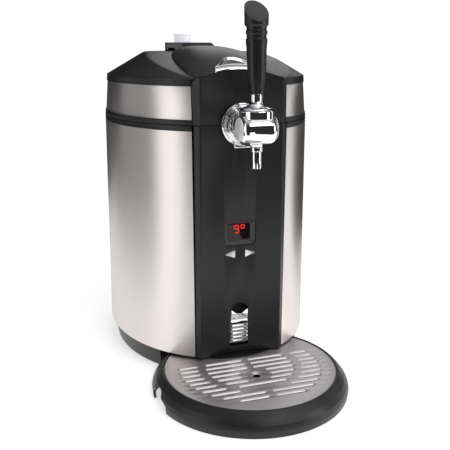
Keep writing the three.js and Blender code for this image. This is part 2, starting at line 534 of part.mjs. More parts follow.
const overRoof = lidForm(0, LID_Z, 72, 13).translate([0, 0, GAP]);
const barOutline = [[-38, 355], [36, 355], [33, 373], [25, 380.5], [-38, 380.5]];
const rearEar = front([[-38, 371], [-11, 371], [-18, 380.5], [-38, 380.5]], 40, 46.5);
const barPlan = [[-38, 46], [36, 46], [36, 118], [-20.7, 118]];
const rearBar = front(barOutline, 46, 118).intersect(plan(barPlan, 350, 385)).subtract(overRoof);
add('rear_block', joined(rearBar, rearEar), DARK);
const knobProfile = [[0, 380.8], [11.6, 380.8], [11.6, 390.5], [12.2, 391], [12.2, 392.5], [0, 392.5]];
add('vent_knob', turned(knobProfile, 32, 0, 100), WHITE);

// ---------------------------------------------------------------- drip tray
const trayProfile = [[0, 6], [92, 6], [92, 22.5], [96.4, 22.5], [96.4, TRAY_LIP_Z], [TRAY_LIP_R, TRAY_LIP_Z],
  [100.5, 22.5], [105, 18], [108.5, 13], [TRAY_R, 8], [109, 0.5], [106.5, 0.5], [107.3, 8], [105.6, 12],
  [102.6, 15.8], [98.5, 19.8], [94.5, 19.8], [94.5, 3.5], [0, 3.5]];
const archOutline = [[-170, -1], [-171, 10], [-175, 15.5], [-181, 18], [-188, 17], [-195, 12], [-207, 9],
  [-207, -1]];
const cutOut = side(archOutline, 95.5, 115);
add('drip_tray', without(turned(trayProfile, 60, 0, TRAY_Y), cutOut, mirrored(cutOut)), BLACK);

// Slots run side to side in two rings of rows; the rows stop short of a round hole near the front.
const HOLE = { y: -20.7, r: 6.75, keep: 17 };
const chord = (r, y) => (Math.abs(y) < r ? Math.sqrt(r * r - y * y) : 0);
const slot = (x0, x1, y) => [[x0 + 1, y - 1], [x1 - 1, y - 1], [x1 - 0.2, y - 0.6], [x1, y],
  [x1 - 0.2, y + 0.6], [x1 - 1, y + 1], [x0 + 1, y + 1], [x0 + 0.2, y + 0.6], [x0, y], [x0 + 0.2, y - 0.6]];
const slots = arc(9, (t) => 16.3 - 9 * SLOT_PITCH * t).flatMap((y) => {
  const outer = [Math.max(4, chord(58.3, y)), chord(79, y)];
  const inner = [Math.max(3.5, chord(HOLE.keep, y - HOLE.y)), chord(49.5, y)];
  const mirroredSlots = ([x0, x1]) => [slot(x0, x1, y), slot(-x1, -x0, y)];
  const unbroken = y < HOLE.y - HOLE.keep && inner[1] > 0;
  if (unbroken) return [slot(-inner[1], inner[1], y), ...mirroredSlots(outer)];
  return [outer, inner].filter(([x0, x1]) => x1 > x0).flatMap(mirroredSlots);
});
const ringOf = (r, x, y, steps) => arc(steps - 1, (t) => {
  const angle = (2 * Math.PI * t * (steps - 1)) / steps;
  return [x + r * Math.cos(angle), y + r * Math.sin(angle)];
});
const plate = plan(ringOf(PLATE_R, 0, 0, 72), 22.8, PLATE_TOP_Z, [...slots, ringOf(HOLE.r, 0, HOLE.y, 20)]);
add('drip_plate', plate.translate([0, TRAY_Y, 0]), STEEL);

// The middle of the whole object's box, from the tray's front to the hinge, goes over the origin.
group.position.y = 60.5;

export default group;
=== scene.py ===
import json
import math

import bmesh
import bpy
from mathutils import Matrix, Vector


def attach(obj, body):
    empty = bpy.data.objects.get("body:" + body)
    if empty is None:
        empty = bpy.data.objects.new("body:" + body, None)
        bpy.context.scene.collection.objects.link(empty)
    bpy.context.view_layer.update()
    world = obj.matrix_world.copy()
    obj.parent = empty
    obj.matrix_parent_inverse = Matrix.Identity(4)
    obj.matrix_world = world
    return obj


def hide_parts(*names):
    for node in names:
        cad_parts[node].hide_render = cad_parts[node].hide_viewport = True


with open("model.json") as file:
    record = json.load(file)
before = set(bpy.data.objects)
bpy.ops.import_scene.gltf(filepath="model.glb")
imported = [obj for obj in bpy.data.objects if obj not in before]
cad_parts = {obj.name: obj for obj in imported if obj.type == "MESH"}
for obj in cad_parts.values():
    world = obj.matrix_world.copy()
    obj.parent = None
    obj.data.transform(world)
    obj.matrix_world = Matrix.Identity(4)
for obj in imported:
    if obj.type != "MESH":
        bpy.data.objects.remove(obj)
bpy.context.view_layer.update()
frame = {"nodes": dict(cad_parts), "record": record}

MM = 0.001
# The design's origin is the middle of the oval body, this many millimetres behind the frame's origin.
SHIFT_Y = 60.5


# ---------------------------------------------------------------- camera, ahead of the tap and to its left
CAMERA_PLACE = (-0.2558, -0.7861, 0.3772)
CAMERA_PITCH, CAMERA_TURN, CAMERA_ROLL = 11.88, 18.6, 0.14
CAMERA_SHIFT = -7 / 90


def add_camera():
    data = bpy.data.cameras.new("camera")
    data.sensor_width = 36.0
    data.lens = 55.115
    data.shift_y = CAMERA_SHIFT
    camera = bpy.data.objects.new("camera", data)
    bpy.context.scene.collection.objects.link(camera)
    pitch, turn, roll = (math.radians(angle) for angle in (CAMERA_PITCH, CAMERA_TURN, CAMERA_ROLL))
    forward = Vector((math.sin(turn) * math.cos(pitch), math.cos(turn) * math.cos(pitch), -math.sin(pitch)))
    level_right = Vector((math.cos(turn), -math.sin(turn), 0.0))
    level_up = level_right.cross(forward)
    right = level_right * math.cos(roll) + level_up * math.sin(roll)
    up = level_up * math.cos(roll) - level_right * math.sin(roll)
    rotation = Matrix((right, up, -forward)).transposed()
    camera.matrix_world = Matrix.Translation(CAMERA_PLACE) @ rotation.to_4x4()
    bpy.context.scene.camera = camera


add_camera()


# ---------------------------------------------------------------- materials
PLASTIC_IOR = 1.42


def new_material(name):
    material = bpy.data.materials.new(name)
    material.use_nodes = True
    tree = material.node_tree
    return material, tree, tree.nodes["Principled BSDF"]


def node(tree, kind, **settings):
    made = tree.nodes.new(kind)
    for key, value in settings.items():
        if key in made.inputs:
            made.inputs[key].default_value = value
        else:
            setattr(made, key, value)
    return made


def stretched(tree, scale):
    coord = node(tree, "ShaderNodeTexCoord")
    mapping = node(tree, "ShaderNodeMapping")
    mapping.inputs["Scale"].default_value = scale
    tree.links.new(coord.outputs["Object"], mapping.inputs["Vector"])
    return mapping.outputs["Vector"]


def ramp(tree, value, low, high):
    made = node(tree, "ShaderNodeMapRange")
    made.inputs["To Min"].default_value = low
    made.inputs["To Max"].default_value = high
    tree.links.new(value, made.inputs["Value"])
    return made.outputs["Result"]


def blend_colours(tree, factor, a, b):
    mix = node(tree, "ShaderNodeMix", data_type="RGBA")
    mix.inputs[6].default_value = (*a, 1)
    mix.inputs[7].default_value = (*b, 1)
    tree.links.new(factor, mix.inputs[0])
    return mix.outputs[2]


def noise(tree, vector, scale, detail, roughness=0.55):
    made = node(tree, "ShaderNodeTexNoise", Scale=scale, Detail=detail, Roughness=roughness)
    tree.links.new(vector, made.inputs["Vector"])
    return made.outputs["Fac"]


def bump(tree, shader, height, strength, distance):
    made = node(tree, "ShaderNodeBump", Strength=strength, Distance=distance)
    tree.links.new(height, made.inputs["Height"])
    tree.links.new(made.outputs["Normal"], shader.inputs["Normal"])


def plastic(name, dark, light, roughness, grain=2200, strength=0.12):
    """Moulded plastic: a fine spark-eroded grain, with slow changes of tone and sheen."""
    material, tree, shader = new_material(name)
    where = stretched(tree, (1, 1, 1))
    slow = noise(tree, where, 14, 2)
    fine = noise(tree, where, grain, 2)
    tree.links.new(blend_colours(tree, ramp(tree, slow, -0.5, 1.5), dark, light), shader.inputs["Base Color"])
    tree.links.new(ramp(tree, slow, roughness - 0.05, roughness + 0.06), shader.inputs["Roughness"])
    bump(tree, shader, fine, strength, 0.0002)
    shader.inputs["IOR"].default_value = PLASTIC_IOR
    return material


def brushed(name, dark, light, roughness, lines, anisotropy, strength, tangent_axis="Z", turn=0.0):
    """Brushed steel: hair lines that run one way, and a highlight that spreads across them."""
    material, tree, shader = new_material(name)
    where = stretched(tree, lines)
    hair = noise(tree, where, 1.0, 6, 0.7)
    slow = noise(tree, stretched(tree, (1, 1, 1)), 9, 2)
    tree.links.new(blend_colours(tree, ramp(tree, hair, -0.2, 1.2), dark, light), shader.inputs["Base Color"])
    both = node(tree, "ShaderNodeMath", operation="ADD")
    tree.links.new(ramp(tree, hair, roughness - 0.05, roughness + 0.05), both.inputs[0])
    tree.links.new(ramp(tree, slow, -0.03, 0.03), both.inputs[1])
    tree.links.new(both.outputs[0], shader.inputs["Roughness"])
    shader.inputs["Metallic"].default_value = 1.0
    shader.inputs["Anisotropic"].default_value = anisotropy
    shader.inputs["Anisotropic Rotation"].default_value = turn
    tangent = node(tree, "ShaderNodeTangent", direction_type="RADIAL", axis=tangent_axis)
    tree.links.new(tangent.outputs[0], shader.inputs["Tangent"])
    bump(tree, shader, hair, strength, 0.0001)
    return material


def metal(name, dark, light, roughness, strength):
    """Plated or plain metal: slight waviness in the reflection and faint handling marks in the sheen."""
    material, tree, shader = new_material(name)
    where = stretched(tree, (1, 1, 1))
    slow = noise(tree, where, 60, 2)
    tree.links.new(blend_colours(tree, slow, dark, light), shader.inputs["Base Color"])
    tree.links.new(ramp(tree, slow, roughness * 0.7, roughness * 1.4), shader.inputs["Roughness"])
    shader.inputs["Metallic"].default_value = 1.0
    bump(tree, shader, slow, strength, 0.0003)
    return material


def lit(material, colour, strength):
    """Light that a finish gives off by itself: real for the display's lit digits and the floor's even
    brightness, a painted glow on the vent knob.
    """
    shader = material.node_tree.nodes["Principled BSDF"]
    shader.inputs["Emission Color"].default_value = (*colour, 1)
    shader.inputs["Emission Strength"].default_value = strength


BLACK = plastic("satin_black", (0.012, 0.012, 0.013), (0.017, 0.017, 0.018), 0.36)
SOFT_BLACK = plastic("dull_black", (0.012, 0.012, 0.013), (0.017, 0.017, 0.018), 0.42)
STEEL = brushed("brushed_steel", (0.74, 0.70, 0.675), (0.86, 0.82, 0.795), 0.40, (9, 9, 5200),
                anisotropy=0.8, strength=0.05, turn=0.25)
PLATE_STEEL = brushed("drip_plate_steel", (0.56, 0.53, 0.53), (0.68, 0.65, 0.65), 0.42, (9, 4000, 9),
                      tangent_axis="X", anisotropy=0.6, strength=0.05)
CHROME = metal("chrome", (0.84, 0.84, 0.85), (0.90, 0.90, 0.91), 0.05, 0.004)
PALE = metal("pale_satin", (0.88, 0.88, 0.88), (0.93, 0.93, 0.93), 0.30, 0.02)
PALE.node_tree.nodes["Principled BSDF"].inputs["Metallic"].default_value = 0.3
ALUMINIUM = metal("aluminium", (0.55, 0.56, 0.58), (0.66, 0.67, 0.69), 0.35, 0.1)
RUBBER = plastic("rubber", (0.012, 0.012, 0.012), (0.02, 0.02, 0.02), 0.75, 900, 0.3)
FOAM = plastic("foam", (0.55, 0.50, 0.38), (0.70, 0.65, 0.52), 0.85, 500, 0.9)
WHITE = plastic("white_plastic", (0.78, 0.78, 0.80), (0.88, 0.88, 0.90), 0.35)
MILKY_PAINTED_GLOW = plastic("milky_plastic_painted_glow", (0.86, 0.87, 0.90), (0.92, 0.93, 0.96), 0.30)
# Painted glow: the vent knob is no lamp, but this light makes its milky plastic read evenly bright white.
lit(MILKY_PAINTED_GLOW, (0.93, 0.95, 1.0), 0.42)
BOARD = plastic("circuit_board", (0.01, 0.09, 0.03), (0.02, 0.14, 0.05), 0.4, 700, 0.4)
GLASS = plastic("display_glass", (0.010, 0.004, 0.004), (0.016, 0.006, 0.006), 0.08, 400, 0.0)
LIT_RED = plastic("lit_red", (0.5, 0.01, 0.01), (0.6, 0.02, 0.02), 0.4, 400, 0.0)
lit(LIT_RED, (1.0, 0.02, 0.015), 0.7)
BEZEL_GREY = plastic("bezel_grey", (0.045, 0.045, 0.047), (0.055, 0.055, 0.058), 0.34)
# Painted shade: a lightless near-black, worn by the catch's slot guide to stand for the shadow in the slot's
# recess above the catch.
RECESS_SHADE_BLACK = plastic("painted_recess_shade_black", (0.0015, 0.0015, 0.0015), (0.0025, 0.0025, 0.0025), 0.8)
SATIN = metal("satin_silver", (0.80, 0.80, 0.80), (0.88, 0.88, 0.88), 0.30, 0.05)
HANDLE_BLACK = plastic("handle_black", (0.012, 0.012, 0.012), (0.017, 0.016, 0.016), 0.33)

SLOT_MATERIALS = {
    "black_plastic": BLACK, "dark_plastic": SOFT_BLACK, "brushed_steel": STEEL, "chrome": CHROME,
    "aluminium": ALUMINIUM, "rubber": RUBBER, "foam": FOAM, "white_plastic": WHITE, "circuit_board": BOARD,
    "display_glass": GLASS,
}
NODE_SLOT = {entry["node"]: entry["material_slot"] for entry in frame["record"]["subparts"]}
NODE_BODY = {name: body for body, names in frame["record"]["behaviour"]["bodies"].items() for name in names}


# ---------------------------------------------------------------- pieces
DONE = set()  # the CAD nodes that a finished piece stands for


def dress(piece, cad_node, material):
    """Gives a new piece its finish, its slot's own unless told otherwise, and its body, and hides the CAD
    node it stands for.
    """
    slot_name = NODE_SLOT[cad_node]
    piece.data.materials.clear()
    piece.data.materials.append(material or SLOT_MATERIALS[slot_name])
    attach(piece, NODE_BODY[cad_node])
    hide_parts(cad_node)
    return piece


def shade(piece, angle=32):
    for polygon in piece.data.polygons:
        polygon.use_smooth = True
    piece.data.set_sharp_from_angle(angle=math.radians(angle))
    return piece


def apply_modifiers(piece):
    depsgraph = bpy.context.evaluated_depsgraph_get()
    made = bpy.data.meshes.new_from_object(piece.evaluated_get(depsgraph))
    piece.modifiers.clear()
    old = piece.data
    piece.data = made
    bpy.data.meshes.remove(old)
    return piece


def bevel(piece, width, segments, angle=40):
    modifier = piece.modifiers.new("bevel", "BEVEL")
    modifier.width = width * MM
    modifier.segments = segments
    modifier.limit_method = "ANGLE"
    modifier.angle_limit = math.radians(angle)
    modifier.use_clamp_overlap = True
    return apply_modifiers(piece)


def softened(cad_node, width, material=None):
    """A finished copy of a CAD node whose shape is right: welded, its sharp edges eased, smoothly shaded."""
    source = frame["nodes"][cad_node]
    mesh = source.data.copy()
    piece = bpy.data.objects.new("finished_" + cad_node, mesh)
    bpy.context.scene.collection.objects.link(piece)
    work = bmesh.new()
    work.from_mesh(mesh)
    bmesh.ops.remove_doubles(work, verts=work.verts, dist=0.00002)
    bmesh.ops.dissolve_limit(work, angle_limit=math.radians(1.0), verts=work.verts, edges=work.edges)
    work.to_mesh(mesh)
    work.free()
    bevel(piece, width, 2)
    shade(piece)
    DONE.add(cad_node)
    return dress(piece, cad_node, material)


# ---------------------------------------------------------------- mesh tools, in millimetres of the design
WELD = 0.002  # points closer than this become one


def link(name, mesh):
    piece = bpy.data.objects.new(name, mesh)
    bpy.context.scene.collection.objects.link(piece)
    return piece


def clean(piece):
    work = bmesh.new()
    work.from_mesh(piece.data)
    bmesh.ops.remove_doubles(work, verts=work.verts, dist=WELD * MM)
    bmesh.ops.recalc_face_normals(work, faces=work.faces)
    work.to_mesh(piece.data)
    work.free()
    return piece


def from_points(name, points, faces):
    mesh = bpy.data.meshes.new(name)
    mesh.from_pydata([(x * MM, (y + SHIFT_Y) * MM, z * MM) for x, y, z in points], [], faces)
    return clean(link(name, mesh))


def join(pieces):
    """One object from several closed shells."""
    work = bmesh.new()
    for piece in pieces:
        work.from_mesh(piece.data)
    work.to_mesh(pieces[0].data)
    work.free()
    for piece in pieces[1:]:
        bpy.data.objects.remove(piece)
    return pieces[0]


def filleted(points, radius, closed=False, steps=4):
    """A polyline with its corners rounded. radius is one number, or a list with one for each point."""
    count = len(points)
    radii = radius if isinstance(radius, (list, tuple)) else [radius] * count
    made = []
    for i, point in enumerate(points):
        if (not closed and i in (0, count - 1)) or radii[i] <= 0:
            made.append(tuple(point))
            continue
        corner = Vector(point)
        back = Vector(points[i - 1]) - corner
        ahead = Vector(points[(i + 1) % count]) - corner
        if back.length < 1e-6 or ahead.length < 1e-6:
            made.append(tuple(point))
            continue
        half = back.angle(ahead) / 2
        if half > math.radians(88):
            made.append(tuple(point))
            continue
        cut = min(radii[i] / math.tan(half), 0.48 * back.length, 0.48 * ahead.length)
        first, last = corner + back.normalized() * cut, corner + ahead.normalized() * cut
        for k in range(steps + 1):
            t = k / steps
            made.append(tuple(first * (1 - t) ** 2 + corner * 2 * t * (1 - t) + last * t * t))
    return made


def grid_faces(rows, columns, wrap_rows, wrap_columns):
    faces = []
    for i in range(rows if wrap_rows else rows - 1):
        for j in range(columns if wrap_columns else columns - 1):
            a, b = i, (i + 1) % rows
            c, d = j, (j + 1) % columns
            faces.append((a * columns + c, a * columns + d, b * columns + d, b * columns + c))
    return faces


def capped_faces(steps, size):
    """Faces of a section of size points carried along in steps, with both ends closed."""
    ends = [tuple(range(size)), tuple(range(steps * size, (steps + 1) * size))]
    return grid_faces(steps + 1, size, False, True) + ends


def revolved(name, profile, segments, place, axis="Z", closed=False):
    """Points [radius, height] turned round an axis through place."""
    points = []
    for r, h in profile:
        for k in range(segments):
            a = 2 * math.pi * k / segments
            c, s = r * math.cos(a), r * math.sin(a)
            local = {"Z": (c, s, h), "Y": (c, h, s), "X": (h, c, s)}[axis]
            points.append(tuple(p + q for p, q in zip(place, local)))
    return from_points(name, points, grid_faces(len(profile), segments, closed, True))


def swept(name, section, x_start, x_end, count):
    """A closed section [radius, height] run along the oval on the +X side, from x_start in front to x_end
    behind. x_start may be a function of the height."""
    start = x_start if callable(x_start) else (lambda z: x_start)
    points = []
    for k in range(count + 1):
        for r, z in section:
            t0, t1 = -math.acos(start(z) / r), math.acos(x_end / r)
            t = t0 + (t1 - t0) * k / count
            points.append((r * math.cos(t), (r + OVAL_EXTRA) * math.sin(t), z))
    return from_points(name, points, capped_faces(count, len(section)))


def mirrored(piece, name):
    mesh = piece.data.copy()
    mesh.transform(Matrix.Scale(-1, 4, (1, 0, 0)))
    mesh.flip_normals()
    return link(name, mesh)


def slab(name, outlines, a, b, edge=0.0, plane="XY"):
    """Outlines, the first with the others as holes in it, given a thickness from a to b and rounded edges.
    plane XY stands them up along Z; XZ is seen from the front and runs along Y; YZ is seen from the side."""
    curve = bpy.data.curves.new(name, "CURVE")
    curve.dimensions = "2D"
    curve.fill_mode = "BOTH"
    for outline in outlines:
        spline = curve.splines.new("POLY")
        spline.points.add(len(outline) - 1)
        for point, (u, v) in zip(spline.points, outline):
            point.co = (u * MM, v * MM, 0, 1)
        spline.use_cyclic_u = True
    curve.extrude = ((b - a) / 2 - edge) * MM
    curve.bevel_depth = edge * MM
    curve.bevel_resolution = 2
    curve.offset = -edge * MM
    source = bpy.data.objects.new(name, curve)
    bpy.context.scene.collection.objects.link(source)
    depsgraph = bpy.context.evaluated_depsgraph_get()
    mesh = bpy.data.meshes.new_from_object(source.evaluated_get(depsgraph))
    bpy.data.objects.remove(source)
    middle = (a + b) / 2 * MM
    turn = {
        "XY": Matrix(((1, 0, 0, 0), (0, 1, 0, SHIFT_Y * MM), (0, 0, 1, middle), (0, 0, 0, 1))),
        "XZ": Matrix(((1, 0, 0, 0), (0, 0, -1, middle + SHIFT_Y * MM), (0, 1, 0, 0), (0, 0, 0, 1))),
        "YZ": Matrix(((0, 0, 1, middle), (1, 0, 0, SHIFT_Y * MM), (0, 1, 0, 0), (0, 0, 0, 1))),
    }[plane]
    mesh.transform(turn)
    return clean(link(name, mesh))


def cut(piece, *cutters, operation="DIFFERENCE"):
    for cutter in cutters:
        modifier = piece.modifiers.new("cut", "BOOLEAN")
        modifier.operation = operation
        modifier.solver = "EXACT"
        modifier.object = cutter
        apply_modifiers(piece)
        bpy.data.objects.remove(cutter)
    return piece


def block(x0, x1, y0, y1, z0, z1):
    points = [(x, y, z) for x in (x0, x1) for y in (y0, y1) for z in (z0, z1)]
    faces = [(0, 1, 3, 2), (4, 6, 7, 5), (0, 4, 5, 1), (2, 3, 7, 6), (0, 2, 6, 4), (1, 5, 7, 3)]
    return from_points("block", points, faces)


def rounded(x0, x1, y0, y1, radius, steps=6):
    corners = [(x1 - radius, y1 - radius, 0), (x0 + radius, y1 - radius, 1), (x0 + radius, y0 + radius, 2),
               (x1 - radius, y0 + radius, 3)]
    made = []
    for cx, cy, quarter in corners:
        for k in range(steps + 1):
            a = (quarter + k / steps) * math.pi / 2
            made.append((cx + radius * math.cos(a), cy + radius * math.sin(a)))
    return made


def line(count, at):
    return [at(k / count) for k in range(count + 1)]


def finish_piece(piece, cad_node, material=None, angle=32):
    piece.name = "finished_" + cad_node
    shade(clean(piece), angle)
    DONE.add(cad_node)
    return dress(piece, cad_node, material)


# ---------------------------------------------------------------- the design's main sizes
# The oval's half width outside and inside its wall. To the front and the back it reaches OVAL_EXTRA further,
# and inside OVAL_CORE that shrinks to nothing at the middle.
BODY_R, WALL_R = 123.0, 119.4
OVAL_EXTRA, OVAL_CORE = 32.0, 72.6
# Heights: the seam, the body's edge below it and the lid's above it, the lid's rim, the side panels' top.
SEAM, BODY_TOP, LID_Z = 292.75, 292.4, 293.1
RIM_Z, STEEL_TOP = 342.0, 286.3
# Half the width of the column and of the lid's panel above it, and where their cheeks stand.
COLUMN, LID_FRONT = (53.6, -140.9), (54.2, -138.9)
# Where the side panels end in front and behind, as distances from the middle plane.
STEEL_EDGE, STEEL_REAR = 55.4, 61.0
# The column's foot, and how strongly its flanks draw in towards it.
COLUMN_FOOT, DRAW_IN = 26.0, 0.284
# The dished face: half its width, where its edges stand, how deep it is, steps across it.
FACE_HALF, FACE_EDGE, FACE_DISH, FACE_STEPS = 48.0, -146.0, 6.0, 48
# The barrel's axis and the tray's middle, from front to back, and the lid's hinge.
TAP_Y, TRAY_Y = -188.0, -176.0
HINGE = (0, 160.5, 290.5)


def drawn_in(x, z):
    """What lies outside the column's corners draws in towards the foot."""
    past = max(0.0, abs(x) - FACE_HALF)
    return x - math.copysign(past * DRAW_IN * max(0.0, SEAM - z) / (SEAM - COLUMN_FOOT), x)


def narrow(piece):
    for vertex in piece.data.vertices:
        vertex.co.x = drawn_in(vertex.co.x / MM, vertex.co.z / MM) * MM
    return piece


def face_y(x, back=0.0):
    """The dished face of the column and the lid's panel, in plan."""
    return FACE_EDGE + back + FACE_DISH * (1 - (x / FACE_HALF) ** 2)


def face_line(back, half=FACE_HALF):
    return line(FACE_STEPS, lambda t: ((2 * t - 1) * half, face_y((2 * t - 1) * half, back)))


# ---------------------------------------------------------------- body
steel = [(122.2, 26.7), (BODY_R, 26.7), (BODY_R, STEEL_TOP), (122.2, STEEL_TOP)]
right = swept("steel", filleted(steel, 0.3, True, 3), lambda z: drawn_in(STEEL_EDGE, z), STEEL_REAR, 150)
left = mirrored(right, "steel_left")
finish_piece(right, "side_panel_right")
finish_piece(left, "side_panel_left")

inner = [(WALL_R, 28.4), (121.9, 28.4), (121.9, 287.0), (WALL_R, 287.0)]
shell_right = swept("shell", inner, lambda z: drawn_in(STEEL_EDGE, z), STEEL_REAR, 90)
shell_left = mirrored(shell_right, "shell_left")
band = [(WALL_R, 286.8), (BODY_R, 286.8), (BODY_R, BODY_TOP), (WALL_R, BODY_TOP)]
band = filleted(band, [0, 0.5, 0.7, 0.3], True, 3)
band_right = swept("band", band, STEEL_EDGE, 0.0, 150)
band_left = mirrored(band_right, "band_left")
finish_piece(join([shell_right, shell_left, band_right, band_left]), "body_shell")


def channel(name, half, cheek_y, back_y, z0, z1):
    """A dished face with two cheeks and short flanks, open behind."""
    wall = 2.5
    outer = [(-half, back_y), (-half, cheek_y), *face_line(0), (half, cheek_y), (half, back_y)]
    inner_half, inner_cheek = half - wall, cheek_y + 1.4
    inside = [(inner_half, back_y), (inner_half, inner_cheek), *reversed(face_line(wall, 46.6)),
              (-inner_half, inner_cheek), (-inner_half, back_y)]
    radii = [0, 1.2, 1.6] + [0] * (FACE_STEPS - 1) + [1.6, 1.2, 0] + [0] * len(inside)
    return slab(name, [filleted(outer + inside, radii, True, 4)], z0, z1, 0.5)


def neck_notch():
    """Room for the tap's shank, half in the column and half in the lid's panel."""
    return revolved("notch", [(0, -170), (8.4, -170), (8.4, -100), (0, -100)], 64, (0, 0, SEAM), "Y")


def arrow(grow):
    """The right-hand arrow button's outline, from the front. grow widens it all round."""
    return [(18.9 + 1.7 * grow, 145.6), (6 - grow, 150.2 + 1.3 * grow), (6 - grow, 141.0 - 1.3 * grow)]


def flipped(outline):
    return [(-u, v) for u, v in reversed(outline)]


def cut_to(outline, back):
    """A cutter with an outline seen from the front, which reaches back from well ahead of the machine."""
    return slab("cut", [outline], -160, back, 0, "XZ")


CATCH_SLOT_R, CATCH_SLOT_FOOT, CATCH_SLOT_SPRING = 11.4, 34.0, 75.1


def slot_arch(t):
    """The round head of the catch's slot, from its right end to its left."""
    return CATCH_SLOT_R * math.cos(math.pi * t), CATCH_SLOT_SPRING + CATCH_SLOT_R * math.sin(math.pi * t)


column = narrow(channel("column", *COLUMN, -125.8, COLUMN_FOOT, BODY_TOP))
slot_outline = [(-CATCH_SLOT_R, CATCH_SLOT_FOOT), (CATCH_SLOT_R, CATCH_SLOT_FOOT), *line(20, slot_arch)]
slot_outline = filleted(slot_outline, [3, 3] + [0] * 21, True, 5)
cut(column, neck_notch(), cut_to(rounded(-18.8, 18.8, 155.7, 184.3, 4.3), -120), cut_to(arrow(0.35), -125),
    cut_to(flipped(arrow(0.35)), -125), cut_to(slot_outline, -130))
bevel(clean(column), 0.4, 3, 50)
finish_piece(column, "front_column")


def lofted(name, loops):
    """Closed loops with as many points in each, joined in turn into a ring that closes on itself."""
    size = len(loops[0])
    points = [point for loop in loops for point in loop]
    return from_points(name, points, grid_faces(len(loops), size, True, True))


def frame_loop(half_w, half_h, radius, y):
    return [(u, y, v) for u, v in rounded(-half_w, half_w, 170 - half_h, 170 + half_h, radius, 6)]


bezel = lofted("bezel", [frame_loop(18.5, 14.0, 4.0, -134.6), frame_loop(18.5, 14.0, 4.0, -139.9),
                         frame_loop(18.2, 13.7, 3.8, -140.3), frame_loop(17.7, 13.2, 3.5, -140.3),
                         frame_loop(13.6, 10.2, 1.6, -136.9), frame_loop(13.2, 9.8, 1.2, -136.5),
                         frame_loop(13.2, 9.8, 1.2, -134.6)])
finish_piece(bezel, "display_bezel", BEZEL_GREY)
window = slab("window", [rounded(-13.0, 13.0, 160.4, 179.6, 1.0)], -136.6, -134.9, 0.2, "XZ")
finish_piece(window, "display_window")

for cad_node, outline in (("button_right", arrow(-0.1)), ("button_left", flipped(arrow(-0.1)))):
    button = slab(cad_node, [filleted(outline, 0.5, True, 3)], face_y(12) - 0.7, -134.7, 0.3, "XZ")
    finish_piece(button, cad_node, SATIN)


def rib_depth(z):
    """How far the catch's face stands out: ribs in the lower part, a plain dish above, a ridge on top."""
    if z < 60:
        return 0.9 * math.sin(math.pi * (z - 37) / 4.6) ** 2
    return abs((z - 66) / 6) ** 1.5 if z < 72 else 1.0


rib_line = line(120, lambda t: (-139.6 - rib_depth(37 + 41 * t), 37 + 41 * t))
catch_side = [(-134.6, 78.0), (-134.6, 37.0), *rib_line]
catch = slab("catch", [catch_side], -10, 10, 0.0, "YZ")
finger_dip = line(16, lambda t: (9.3 - 18.6 * t, 78.3 - 4.9 * math.sin(math.pi * t)))
catch_front = [(-10, 37), (10, 37), (10, 78.3), *finger_dip, (-10, 78.3)]
catch_front = filleted(catch_front, [3.4, 3.4, 0.3] + [0] * 17 + [0.3], True, 5)
cut(catch, slab("cut", [catch_front], -150, -120, 0, "XZ"), operation="INTERSECT")
back_plate = slab("plate", [rounded(-12.8, 12.8, 36.5, 73, 1)], -136.8, -134.4, 0.2, "XZ")
finish_piece(join([bevel(clean(catch), 0.25, 2, 50), back_plate]), "tray_catch")

# ---------------------------------------------------------------- tap
flange = [(0, -141.8), (23.5, -141.8), (23.5, -145.6), (22.2, -146.6), (21.0, -146.2), (20.6, -147.4),
          (19.9, -147.2), (19.5, -149.0), (18.0, -149.8), (17.0, -149.4), (16.6, -151.0), (0, -151.0)]
finish_piece(revolved("flange", filleted(flange, 0.5), 128, (0, 0, SEAM), "Y"), "tap_flange", angle=60)


def barrel_form(grow):
    """The tap's barrel, lying across the machine. grow makes it thicker, to cut room for it."""
    half = [(16.8 + grow, 8), (16.3 + grow, 13.2), (14.8 + grow, 16.8), (12.3 + grow, 18.5)]
    other = [(r, -x) for r, x in reversed(half)]
    profile = [(0, -18.5), *other, *half, (0, 18.5)]
    return revolved("barrel", filleted(profile, [0, 0.6, 4, 6, 14, 14, 6, 4, 0.6, 0], steps=6), 128,
                    (0, TAP_Y, SEAM), "X")


barrel = barrel_form(0)
neck = [(0, -151.2), (13.4, -151.2), (13.4, -153.0), (12.0, -156.0), (11.0, -162.0), (11.0, -178.0),
        (0, -178.0)]
neck = revolved("neck", filleted(neck, [0, 0.5, 1, 4, 6, 0, 0]), 96, (0, 0, SEAM), "Y")
boss = [(0, 274.6), (6.4, 274.6), (6.4, 275.6), (7.6, 278), (7.6, 285), (0, 285)]
boss = revolved("boss", filleted(boss, 0.8), 64, (0, TAP_Y, 0))
finish_piece(join([barrel, neck, boss]), "tap_body", angle=50)

cap = [(0, 18.8), (12.5, 18.8), (12.5, 19.5), (9.5, 20.7), (5, 21.3), (0, 21.5)]
cap = revolved("cap", filleted(cap, [0, 0.2, 0.6, 6, 8, 0]), 96, (0, TAP_Y, SEAM), "X")
other = mirrored(cap, "cap_left")
finish_piece(cap, "tap_side_cap_right", PALE, 50)
finish_piece(other, "tap_side_cap_left", PALE, 50)

collar = filleted([(0, 270), (6.9, 270), (6.9, 274.3), (0, 274.3)], 0.5)
finish_piece(revolved("collar", collar, 64, (0, TAP_Y, 0)), "spout_collar", angle=50)
spout = filleted([(4.3, 252), (5.55, 252), (5.55, 269.7), (4.3, 269.7)], 0.35, True)
finish_piece(revolved("spout", spout, 64, (0, TAP_Y, 0), closed=True), "spout", angle=50)


